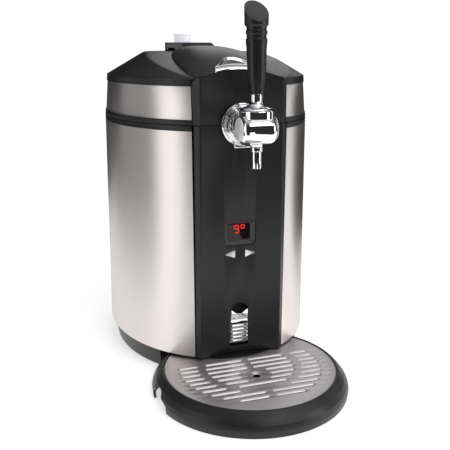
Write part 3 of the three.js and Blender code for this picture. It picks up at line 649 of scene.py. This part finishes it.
def tube(name, path, radius):
    """A round wire along a path."""
    curve = bpy.data.curves.new(name, "CURVE")
    curve.dimensions = "3D"
    spline = curve.splines.new("POLY")
    spline.points.add(len(path) - 1)
    for point, (x, y, z) in zip(spline.points, path):
        point.co = (x * MM, (y + SHIFT_Y) * MM, z * MM, 1)
    curve.bevel_depth = radius * MM
    curve.bevel_resolution = 4
    curve.use_fill_caps = True
    source = bpy.data.objects.new(name, curve)
    bpy.context.scene.collection.objects.link(source)
    mesh = bpy.data.meshes.new_from_object(source.evaluated_get(bpy.context.evaluated_depsgraph_get()))
    bpy.data.objects.remove(source)
    return clean(link(name, mesh))


wire = filleted([(-10, 275.4), (-10, 268.4), (10, 268.4), (10, 275.4)], 1.6, steps=6)
finish_piece(tube("wire", [(x, -148.3, z) for x, z in wire], 0.8), "tap_clip", angle=60)

BARREL = Vector((0, (TAP_Y + SHIFT_Y) * MM, SEAM * MM))
LEAN = Matrix.Translation(BARREL) @ Matrix.Rotation(math.radians(-2), 4, "X") @ Matrix.Translation(-BARREL)


def leaning(piece):
    """The stem and the handle lean a little about the barrel's axis."""
    piece.data.transform(LEAN)
    return piece


bonnet = [(0, 303.2), (17.9, 303.2), (18.4, 304.0), (18.4, 311.4), (16.6, 314.2), (12.0, 315.9), (8.6, 316.8),
          (0, 316.8)]
bonnet = revolved("bonnet", filleted(bonnet, [0, 0.3, 0.3, 2.2, 4, 5, 0, 0]), 128, (0, TAP_Y, 0))
cut(bonnet, barrel_form(0.35),
    revolved("cut", [(0, TAP_Y), (11.5, TAP_Y), (11.5, -140), (0, -140)], 96, (0, 0, SEAM), "Y"))
stem = [(0, 312), (9.6, 312), (9.6, 316.0), (7.4, 318.0), (6.25, 321.0), (6.25, 328.2), (0, 328.2)]
stem = leaning(revolved("stem", filleted(stem, [0, 0, 0.6, 3, 4, 0.4, 0]), 96, (0, TAP_Y, 0)))
finish_piece(join([bevel(clean(bonnet), 0.3, 3, 50), stem]), "tap_lever", angle=50)

handle = [(0, 328.4), (7.3, 328.4), (7.8, 332), (9.25, 342.5), (10.0, 362), (10.35, 375), (11.0, 380.8),
          (11.0, 383.2), (10.1, 384.2), (10.1, 387.4), (11.0, 388.4), (11.0, 391.2), (10.2, 392.2),
          (10.4, 395.2), (12.15, 397.2), (12.45, 410), (12.65, 428), (0, 428)]
handle_radii = [0, 0.8, 2, 8, 10, 6, 0.8, 0.8, 0.6, 0.6, 0.8, 0.8, 0.6, 1, 0.9, 8, 0, 0]
handle = leaning(revolved("handle", filleted(handle, handle_radii), 96, (0, TAP_Y, 0)))
# Its top is cut off on a slant.
SLANT_PLACE, SLANT_UP = (0, (-170.5 + SHIFT_Y) * MM, 422 * MM), (0, -0.646, 0.763)
work = bmesh.new()
work.from_mesh(handle.data)
slant = bmesh.ops.bisect_plane(work, geom=work.verts[:] + work.edges[:] + work.faces[:], plane_co=SLANT_PLACE,
                               plane_no=SLANT_UP, clear_outer=True)
rim = [e for e in slant["geom_cut"] if isinstance(e, bmesh.types.BMEdge)]
bmesh.ops.holes_fill(work, edges=rim)
work.to_mesh(handle.data)
work.free()
finish_piece(bevel(clean(handle), 1.1, 4, 40), "tap_handle", HANDLE_BLACK, 40)

# ---------------------------------------------------------------- lid
# The rim's half width, and how far the lid's band leans in up to it.
RIM_R, LID_LEAN = 119.6, 3.4
# The roof's height, and the distance in from the rim over which it climbs there.
ROOF_TOP, ROOF_RUN = 369.5, 47.0
# The dome's height, its half width where it is widest, and how far it runs from there to the front and back.
DOME_TOP, DOME_HALF, DOME_WIDEST = 376.5, 55.5, -90.0
DOME_AHEAD, DOME_BEHIND = 105.0, 130.0


def ring_at(z, inset):
    """Radius of the lid's leaning band at a height."""
    return BODY_R - inset - LID_LEAN * (z - LID_Z) / (RIM_Z - LID_Z)


def oval_radius(x, y):
    """Radius of the oval that runs through a point."""
    r = math.hypot(x, y / (1 + OVAL_EXTRA / OVAL_CORE))
    if r <= OVAL_CORE:
        return r
    for _ in range(8):
        error = (x / r) ** 2 + (y / (r + OVAL_EXTRA)) ** 2 - 1
        r += error / (2 * x * x / r ** 3 + 2 * y * y / (r + OVAL_EXTRA) ** 3)
    return r


def smooth_min(a, b, width):
    near = max(0.0, width - abs(a - b)) / width
    return min(a, b) - near * near * width / 4


def smooth_max(a, b, width):
    return -smooth_min(-a, -b, width)


def scoop(y):
    """Height of the hollow that runs down from the middle of the roof to the front."""
    return max(RIM_Z, 368.3 + 0.139 * y - 0.00038 * y * y)


def dome_half(y):
    """Half the width of the long dome, which is widest near the front."""
    reach = DOME_AHEAD if y < DOME_WIDEST else DOME_BEHIND
    return DOME_HALF * math.sqrt(max(0.0, 1 - ((y - DOME_WIDEST) / reach) ** 2))


def lid_top(x, y):
    """The lid's roof: it climbs from the rim, is scooped out towards the front and carries a long dome."""
    climb = smooth_min(RIM_Z + (ROOF_TOP - RIM_Z) * (RIM_R - oval_radius(x, y)) / ROOF_RUN, ROOF_TOP, 2.5)
    roof = smooth_min(climb, scoop(y), 1.2)
    half = dome_half(y)
    if abs(x) >= half:
        return roof
    ridge = DOME_TOP - 0.00165 * min(0.0, y + 15) ** 2
    bulge = scoop(y) + 0.15 + (ridge - scoop(y)) * (1 - (x / half) ** 2) ** 0.8
    return smooth_max(roof, bulge, 3.0)


def row_of(y, reach, spans):
    """Places across the lid at y, closest together at the dome's edge and at the roof's crease."""
    crease = RIM_R - ROOF_RUN * (min(scoop(y), ROOF_TOP) - RIM_Z) / (ROOF_TOP - RIM_Z)
    crease_x = crease * math.sqrt(max(0.0, 1 - (y / (crease + OVAL_EXTRA)) ** 2))
    a = min(max(dome_half(y), 0.12 * reach), 0.7 * reach)
    b = min(max(crease_x, a + 0.05 * reach), 0.97 * reach)
    places = []
    for (start, end), steps in zip(((0, a), (a, b), (b, reach)), spans):
        places += [start + (end - start) * (0.5 - 0.5 * math.cos(math.pi * k / steps)) for k in range(steps)]
    places.append(reach)
    return [-x for x in reversed(places[1:])] + places


def lid_solid(name, inset, edge, rows, spans):
    """The lid's form as a full body. edge is its outline [radius, height], from the roof to the underside."""
    rim = edge[0][0]
    angles = [math.pi * (k / rows - 0.5) for k in range(rows + 1)]
    points = []
    for a in angles:
        y = (rim + OVAL_EXTRA) * math.sin(a)
        points += [(x, y, lid_top(x, y) - inset) for x in row_of(y, rim * math.cos(a), spans)]
    columns = 2 * sum(spans) + 1
    faces = grid_faces(rows + 1, columns, False, False)
    around = angles[:-1] + [math.pi - a for a in reversed(angles[1:])]
    count = len(around)
    first = len(points)
    for index, (r, z) in enumerate(edge):
        for a in around:
            x, y = r * math.cos(a), (r + OVAL_EXTRA) * math.sin(a)
            points.append((x, y, z if index else lid_top(x, y) - inset))
    for ring in range(len(edge) - 1):
        for k in range(count):
            a, b = first + ring * count + k, first + ring * count + (k + 1) % count
            faces.append((a, b, b + count, a + count))
    faces.append(tuple(range(len(points) - count, len(points))))
    return from_points(name, points, faces)


outer_edge = [(118.6, 342.6), (RIM_R, RIM_Z), (122.95, 293.8), (122.5, LID_Z)]
outer_edge = filleted(outer_edge, [0, 0.9, 0.4, 0], steps=5)
inner_edge = [(116.6, 339.0), (120.0, 288.0)]
ahead = [(-54.5, -230), (-54.5, -136.1), *face_line(2.8), (54.5, -136.1), (54.5, -230)]
recess = [(ring_at(z, inset), z) for z, inset in ((298.1, 1.7), (298.1, -3), (334.3, -3), (334.3, 1.7))]
recess_right = swept("cut", recess, 54.5, STEEL_REAR, 120)
recess_left = mirrored(recess_right, "cut_left")
BUTTON_HALF = 28.9


def button_back(x):
    """Far edge of the release button: a rounded point in the middle."""
    corners = [(0, -103.5), (5, -104.5), (11, -109), (18.6, -120), (26.5, -129), (29, -138.8)]
    for (x0, y0), (x1, y1) in zip(corners, corners[1:]):
        if abs(x) <= x1:
            return y0 + (y1 - y0) * (abs(x) - x0) / (x1 - x0)
    return corners[-1][1]


pocket = [(x, face_y(x, 3.1)) for x in line(24, lambda t: (2 * t - 1) * 29.3)]
pocket += [(x, button_back(x) + 0.4) for x in line(60, lambda t: (1 - 2 * t) * 29.3)]
lid = lid_solid("lid", 0, outer_edge, 150, (12, 16, 16))
cut(lid, lid_solid("cut", 3, inner_edge, 48, (5, 5, 4)), slab("cut", [ahead], 280, 400),
    block(-54.5, 54.5, -230, -125, 280, 340), recess_right, recess_left, slab("cut", [pocket], 335, 400))
knuckle = filleted([(2.3, -29.5), (4.5, -29.5), (4.5, 29.5), (2.3, 29.5)], 0.4, True)
knuckle = revolved("knuckle", knuckle, 48, HINGE, "X", True)
link_plate = bevel(block(-29.3, 29.3, 151, 160, 293.4, 297.6), 0.6, 3)
finish_piece(join([lid, knuckle, link_plate]), "lid_shell")

arched = line(FACE_STEPS, lambda t: ((2 * t - 1) * FACE_HALF, RIM_Z + 8.2 * (1 - (2 * t - 1) ** 2)))
arched = [(-70, 290), (-70, RIM_Z), *arched, (70, RIM_Z), (70, 290)]
behind = [(-60, -120), (-60, -136.4), *face_line(2.5), (60, -136.4), (60, -120)]
panel = channel("panel", *LID_FRONT, -128.3, LID_Z, 360)
cut(panel, slab("cut", [arched], -160, -100, 0, "XZ"), operation="INTERSECT")
cut(panel, neck_notch(), slab("cut", [behind], 339.7, 400))
finish_piece(bevel(clean(panel), 0.5, 3, 50), "lid_front_panel")

strip = [(ring_at(z, inset), z) for z, inset in ((298.4, 1.4), (298.4, 0.9), (334.0, 0.9), (334.0, 1.4))]
inlay = swept("inlay", filleted(strip, 0.2, True, 3), 54.9, 61.3, 150)
other = mirrored(inlay, "inlay_left")
finish_piece(inlay, "lid_inlay_right")
finish_piece(other, "lid_inlay_left")


def button_top(x, ahead_edge, back_edge, t):
    """Height of the release button: a smooth strip in front, a groove, then a dish inside a raised rim."""
    y = ahead_edge + (back_edge - ahead_edge) * t
    along, left = y - ahead_edge, min(back_edge - y, 0.8 * (BUTTON_HALF - abs(x)))
    rim = min(1.0, max(0.0, left) / 0.7)
    lift = 0.5 * rim
    if along < 11.0:
        lift += 1.3 * math.sin(math.pi * min(1.0, along / 11.0)) ** 0.6 * rim
    else:
        dish = min(1.0, max(0.0, left - 2.0) / 3.0)
        lift += 0.5 - 1.9 * dish * dish * (3 - 2 * dish) - 0.4 * (along < 11.9) * rim
    return y, lid_top(x, y) + lift


top_rows, columns, rows = [], 72, 64
for k in range(rows + 1):
    row = []
    for x in line(columns, lambda t: -BUTTON_HALF * math.cos(math.pi * t)):
        y, z = button_top(x, face_y(x, 3.5), max(button_back(x), face_y(x, 3.6)), k / rows)
        row.append((x, y, z))
    top_rows.append(row)
top = [point for row in top_rows for point in row]
under = [(x, y, min(z - 1.0, 343.4)) for x, y, z in top]
size = columns + 1
faces = grid_faces(rows + 1, size, False, False)
faces += [tuple(index + len(top) for index in reversed(face)) for face in faces]
edge_line = list(range(size)) + [k * size + columns for k in range(1, rows + 1)]
edge_line += [rows * size + k for k in range(columns - 1, -1, -1)]
edge_line += [k * size for k in range(rows - 1, 0, -1)]
for a, b in zip(edge_line, edge_line[1:] + edge_line[:1]):
    faces.append((a, b, b + len(top), a + len(top)))
button = from_points("button", top + under, faces)
plunger = bevel(block(-4, 4, -133.6, -128, 321.2, 344), 0.6, 3)
finish_piece(join([button, plunger]), "release_button", angle=50)

# The stepped block behind the dome, its left wall's slant in plan, and its clearance over the roof.
BLOCK_FRONT, BLOCK_DEPTH, BLOCK_TOP, BLOCK_LEFT, BLOCK_RIGHT = 46, 72, 380.5, -38, 36
BLOCK_DRAWN_IN, BLOCK_GAP = 0.24, 0.25


def rear_left(y):
    """The block's left wall, drawn in towards the back."""
    return BLOCK_LEFT + BLOCK_DRAWN_IN * (y - BLOCK_FRONT)


def rear_foot(x, y):
    """The block stands just clear of the lid's roof."""
    return lid_top(x, y) + BLOCK_GAP


rear_points, rear_rows = [], 24
for y in line(rear_rows, lambda t: BLOCK_FRONT + BLOCK_DEPTH * t):
    left = rear_left(y)
    over = [(BLOCK_RIGHT, rear_foot(BLOCK_RIGHT, y)), (33, 373), (25, BLOCK_TOP), (left, BLOCK_TOP),
            (left, rear_foot(left, y))]
    over = filleted(over, [0, 2, 3, 0.8, 0], steps=5)
    rear_points += [(x, y, rear_foot(x, y)) for x in line(24, lambda t: left + (BLOCK_RIGHT - left) * t)]
    rear_points += [(x, y, z) for x, z in over[1:-1]]
faces = capped_faces(rear_rows, len(rear_points) // (rear_rows + 1))
rear = bevel(from_points("rear", rear_points, faces), 0.7, 3, 60)
EAR_FOOT, EAR_LEAN = 371, 0.4
ear = [(BLOCK_LEFT, EAR_FOOT), (-36, EAR_FOOT), (-35.6, 373.4), (-28, 373.4), (-26.5, EAR_FOOT),
       (-11, EAR_FOOT), (-18, BLOCK_TOP), (BLOCK_LEFT, BLOCK_TOP)]
ear = slab("ear", [filleted(ear, [0.5, 0.3, 0.8, 0.8, 0.3, 0.8, 1.2, 0.5], True)], 39.9, 47, 0.6, "XZ")
# The ear leans back, along the block's left wall.
for vertex in ear.data.vertices:
    back = EAR_LEAN * (vertex.co.z - EAR_FOOT * MM)
    vertex.co.y += back
    vertex.co.x += BLOCK_DRAWN_IN * back
finish_piece(join([rear, ear]), "rear_block", BEZEL_GREY, 40)

knob = [(0, 380.8), (11.6, 380.8), (11.6, 390.2), (12.2, 390.7), (12.2, 392.5), (9.6, 392.5), (9.2, 391.9),
        (0, 391.9)]
knob = revolved("knob", filleted(knob, [0, 0.6, 0.4, 0.3, 0.8, 0.3, 0.3, 0]), 96, (0, 100, 0))
# The knob's milky plastic carries a painted glow.
finish_piece(knob, "vent_knob", MILKY_PAINTED_GLOW, 50)

# ---------------------------------------------------------------- drip tray and its plate
tray = [(0, 6), (92, 6), (92, 22.5), (96.4, 22.5), (96.4, 24.8), (98.2, 24.8), (100.5, 22.5), (105, 18),
        (108.5, 13), (110, 8), (109, 0.5), (106.5, 0.5), (107.3, 8), (105.6, 12), (102.6, 15.8), (98.5, 19.8),
        (94.5, 19.8), (94.5, 3.5), (0, 3.5)]
tray_radii = [0, 1.5, 0.4, 0.3, 0.5, 1.0, 3, 5, 5, 6, 0.6, 0.5, 3, 3, 3, 2, 0.5, 1, 0]
tray = revolved("tray", filleted(tray, tray_radii), 160, (0, TRAY_Y, 0))
arch_side = [(-170, -1), (-171, 10), (-175, 15.5), (-181, 18), (-188, 17), (-195, 12), (-207, 9), (-207, -1)]
arch_side = filleted(arch_side, [0, 4, 4, 4, 4, 5, 0.5, 0], True)
cut(tray, slab("cut", [arch_side], 95.5, 115, 0, "YZ"), slab("cut", [arch_side], -115, -95.5, 0, "YZ"))
finish_piece(tray, "drip_tray")


HOLE_Y, HOLE_R = -20.7, 6.75
SLOT_HALF, SLOT_PITCH, SLOT_ROWS = 1.3, 9.6, 10


def ring_outline(r, y, steps):
    angles = [2 * math.pi * k / steps for k in range(steps)]
    return [(r * math.cos(a), y + r * math.sin(a)) for a in angles]


def chord(r, y):
    """Half the length of a circle's chord at a distance from its middle."""
    return math.sqrt(r * r - y * y) if abs(y) < r else 0.0


def slot_outline_at(x0, x1, y, grow):
    """A slot with round ends. grow widens it all round."""
    x0, x1, half = x0 - grow, x1 + grow, SLOT_HALF + grow
    turn = line(8, lambda t: math.pi * t)
    right_end = [(x1 - half + half * math.sin(a), y - half * math.cos(a)) for a in turn]
    left_end = [(x0 + half - half * math.sin(a), y + half * math.cos(a)) for a in turn]
    return right_end + left_end


def pressed(name, outline_at, steps):
    """The lip of a pressed hole: outlines at several widths and heights, joined into a ring."""
    return lofted(name, [[(u, v, z) for u, v in outline_at(grow)] for grow, z in steps])


# A lip's steps [how far outside the hole's edge, height]: down into the hole and back up beneath the plate.
LIP = [(1.15, 23.45), (1.0, 23.35), (0.1, 22.6), (-0.1, 22.2), (0.1, 22.0), (1.15, 23.0)]
HOLE_LIP = [(0.15, 23.45), (-0.1, 23.3), (-2.4, 22.3), (-2.8, 21.9), (-2.5, 21.6), (0.15, 23.0)]
slots = []
for k in range(SLOT_ROWS):
    y = 16.3 - SLOT_PITCH * k
    outer_pair = (max(4.0, chord(58.3, y)), chord(79.0, y))
    inner_pair = (max(3.5, chord(17.0, y - HOLE_Y)), chord(49.5, y))
    spans = [(a, b) for a, b in (outer_pair, inner_pair) if b > a + 2]
    if y < HOLE_Y - 17.0 and inner_pair[1] > 0:
        spans = [outer_pair]
        slots.append((-inner_pair[1], inner_pair[1], y + TRAY_Y))
    for a, b in spans:
        slots += [(a, b, y + TRAY_Y), (-b, -a, y + TRAY_Y)]
hole = ring_outline(HOLE_R, HOLE_Y + TRAY_Y, 48)
cut_slots = [slot_outline_at(*slot, 1.1) for slot in slots]
plate = slab("plate", [ring_outline(95.7, TRAY_Y, 192), hole, *cut_slots], 22.8, 24.0, 0.45)
lips = [pressed("lip", lambda grow: slot_outline_at(*slot, grow), LIP) for slot in slots]
lips.append(pressed("lip", lambda grow: ring_outline(HOLE_R + grow, HOLE_Y + TRAY_Y, 48), HOLE_LIP))
finish_piece(join([plate, *lips]), "drip_plate", PLATE_STEEL)

# ---------------------------------------------------------------- base
def oval_lathe(name, profile):
    """Points [radius, height] run right round the oval."""
    points, segments = [], 192
    for r, z in profile:
        stretch = OVAL_EXTRA * min(1.0, r / OVAL_CORE)
        for k in range(segments):
            a = 2 * math.pi * k / segments
            points.append((r * math.cos(a), (r + stretch) * math.sin(a), z))
    return from_points(name, points, grid_faces(len(profile), segments, False, True))


skirt = [(0, 25.6), (116.8, 25.6), (112.5, 3.0), (115.0, 3.0), (119.5, 25.6), (121.9, 25.6), (121.9, 28.1),
         (0, 28.1)]
pan = oval_lathe("pan", filleted(skirt, [0, 0.5, 0.5, 0.8, 0.5, 0.3, 0.5, 0]))
foot_room = slab("cut", [[(-54, -230), (54, -230), (54, -124.5), (-54, -124.5)]], 25.6, 40)
tray_room = revolved("cut", [(0, 0), (112.5, 0), (112.5, 25.3), (0, 25.3)], 160, (0, TRAY_Y, 0))
cut(pan, tray_room, narrow(foot_room))
wall = filleted([(112.5, 3.0), (115.0, 3.0), (115.0, 26.0), (112.5, 26.0)], 0.4, True)
wall = revolved("wall", wall, 160, (0, TRAY_Y, 0), closed=True)
cut(wall, oval_lathe("cut", [(0, 3), (114.8, 3), (119.3, 25.7), (0, 25.7)]), operation="INTERSECT")
finish_piece(join([pan, wall]), "base_pan")

COVER_HALF, COVER_STEPS = 60.7, 120
cover = [(WALL_R, 28.4), (BODY_R, 28.4), (BODY_R, STEEL_TOP), (WALL_R, STEEL_TOP)]
cover = filleted(cover, [0, 0.7, 0.7, 0], True)
points = []
for k in range(COVER_STEPS + 1):
    for r, z in cover:
        start = math.acos(COVER_HALF / r)
        a = start + (math.pi - 2 * start) * k / COVER_STEPS
        points.append((r * math.cos(a), (r + OVAL_EXTRA) * math.sin(a), z))
cover = from_points("cover", points, capped_faces(COVER_STEPS, len(cover)))
vents = [rounded(-38, 38, z, z + 4, 1.9, 5) for z in line(9, lambda t: 112 + 72 * t)]
vents += [rounded(-39.3, -10.7, 44.7, 65.3, 2), rounded(14.7, 35.3, 47.3, 62.9, 1.5)]
cut(cover, slab("cut", vents, 100, 170, 0, "XZ"))
finish_piece(bevel(clean(cover), 0.35, 2, 50), "rear_cover")


# ---------------------------------------------------------------- display digits, plain seven-segment figures
def segment(x0, z0, x1, z1, width):
    """One lit bar with pointed ends."""
    length = math.hypot(x1 - x0, z1 - z0)
    u, v = (x1 - x0) / length * width / 2, (z1 - z0) / length * width / 2
    return [(x0, z0), (x0 + u + v, z0 + v - u), (x1 - u + v, z1 - v - u),
            (x1, z1), (x1 - u - v, z1 - v + u), (x0 + u - v, z0 + v + u)]


def lit_square(x0, x1, z0, z1, bottom=None):
    """The upper square of a seven-segment figure, with two more bars below it if it has a bottom."""
    corners = [(x0, z0), (x1, z0), (x1, z1), (x0, z1)]
    bars = [(*a, *b) for a, b in zip(corners, corners[1:] + corners[:1])]
    if bottom is not None:
        bars += [(x1, z0, x1, bottom), (x0, bottom, x1, bottom)]
    return [segment(*bar, 1.1) for bar in bars]


bars = lit_square(-5.3, -0.6, 173.6, 178.0, 169.2) + lit_square(2.4, 6.4, 174.0, 178.0)
digits = join([slab("digit", [bar], -136.85, -136.65, 0.05, "XZ") for bar in bars])
digits.name = "display_digits"
shade(digits)
digits.data.materials.append(LIT_RED)
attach(digits, "housing")

# ---------------------------------------------------------------- every other node, finished as it is
# Painted shade: the catch's slot guide is made near-black so the recess above the catch reads as dark as its
# shadow.
softened("slider_guide", 0.3, RECESS_SHADE_BLACK)
for name in sorted(set(frame["nodes"]) - DONE):
    softened(name, 0.3)


# ---------------------------------------------------------------- stage
def table_top(name, x0, x1, y0, y1, material):
    mesh = bpy.data.meshes.new(name)
    mesh.from_pydata([(x0, y0, 0), (x1, y0, 0), (x1, y1, 0), (x0, y1, 0)], [], [(0, 1, 2, 3)])
    piece = link(name, mesh)
    mesh.materials.append(material)
    return piece


def softbox(name, place, target, size, power):
    data = bpy.data.lights.new(name, "AREA")
    data.shape = "RECTANGLE"
    data.size, data.size_y = size
    data.energy = power
    lamp = bpy.data.objects.new(name, data)
    bpy.context.scene.collection.objects.link(lamp)
    lamp.location = place
    lamp.rotation_euler = (Vector(target) - Vector(place)).to_track_quat("-Z", "Y").to_euler()
    return lamp


floor_material, floor_tree, floor_shader = new_material("floor")
floor_tone = noise(floor_tree, stretched(floor_tree, (1, 1, 1)), 3, 2)
floor_tree.links.new(blend_colours(floor_tree, floor_tone, (0.88, 0.88, 0.88), (0.90, 0.90, 0.90)),
                     floor_shader.inputs["Base Color"])
floor_shader.inputs["Roughness"].default_value = 0.9
floor_shader.inputs["Specular IOR Level"].default_value = 0.1
lit(floor_material, (1, 1, 1), 0.6)
# The table ends not far round the machine, so that the metal mirrors white where it lies and dark past it.
table_top("floor", -0.6, 0.45, -0.5, 1.0, floor_material)
table_top("floor_left", -1.8, -0.6, -0.8, -0.1, floor_material)
table_top("floor_right", 0.45, 1.5, -0.5, 0.12, floor_material)
table_top("floor_front", -0.12, 0.22, -1.25, -0.5, floor_material)

# A white backdrop, and a dim studio all round that the metal reflects between the bright softboxes.
world = bpy.data.worlds.new("world")
bpy.context.scene.world = world
world.use_nodes = True
tree = world.node_tree
path = node(tree, "ShaderNodeLightPath")
backdrop = tree.nodes["Background"]
backdrop.inputs["Strength"].default_value = 1.05
backdrop.inputs["Color"].default_value = (1, 1, 1, 1)
studio = node(tree, "ShaderNodeBackground", Color=(0.95, 0.96, 1.0, 1))
direction = node(tree, "ShaderNodeTexCoord")
split = node(tree, "ShaderNodeSeparateXYZ")
rise = node(tree, "ShaderNodeMapRange")
rise.inputs["From Min"].default_value = 0.52
rise.inputs["From Max"].default_value = 1.0
rise.inputs["To Min"].default_value = 0.03
rise.inputs["To Max"].default_value = 0.7
tree.links.new(direction.outputs["Generated"], split.inputs[0])
tree.links.new(split.outputs["Z"], rise.inputs["Value"])
tree.links.new(rise.outputs["Result"], studio.inputs["Strength"])
either = node(tree, "ShaderNodeMixShader")
tree.links.new(path.outputs["Is Camera Ray"], either.inputs[0])
tree.links.new(studio.outputs[0], either.inputs[1])
tree.links.new(backdrop.outputs[0], either.inputs[2])
tree.links.new(either.outputs[0], tree.nodes["World Output"].inputs["Surface"])
bpy.context.scene.view_settings.view_transform = "Standard"

softbox("key_front", (0.55, -1.7, 1.55), (0, -0.1, 0.25), (1.5, 0.8), 12)
softbox("left_wall", (-1.75, -0.45, 0.6), (0, 0, 0.2), (0.95, 1.4), 6)
softbox("left_rear", (-1.9, 0.8, 0.5), (0, 0, 0.3), (1.8, 0.5), 1.7)
softbox("side_right", (2.0, 0.1, 0.6), (0, 0, 0.25), (0.5, 1.6), 2.4)
softbox("strip_right", (1.5, -1.05, 0.55), (0, 0, 0.25), (0.5, 1.4), 9)
softbox("rear_right", (0.85, 1.75, 1.15), (0, 0, 0.3), (1.0, 0.7), 3)
softbox("top", (0.35, -0.2, 2.0), (0, 0, 0.2), (1.4, 1.3), 6)
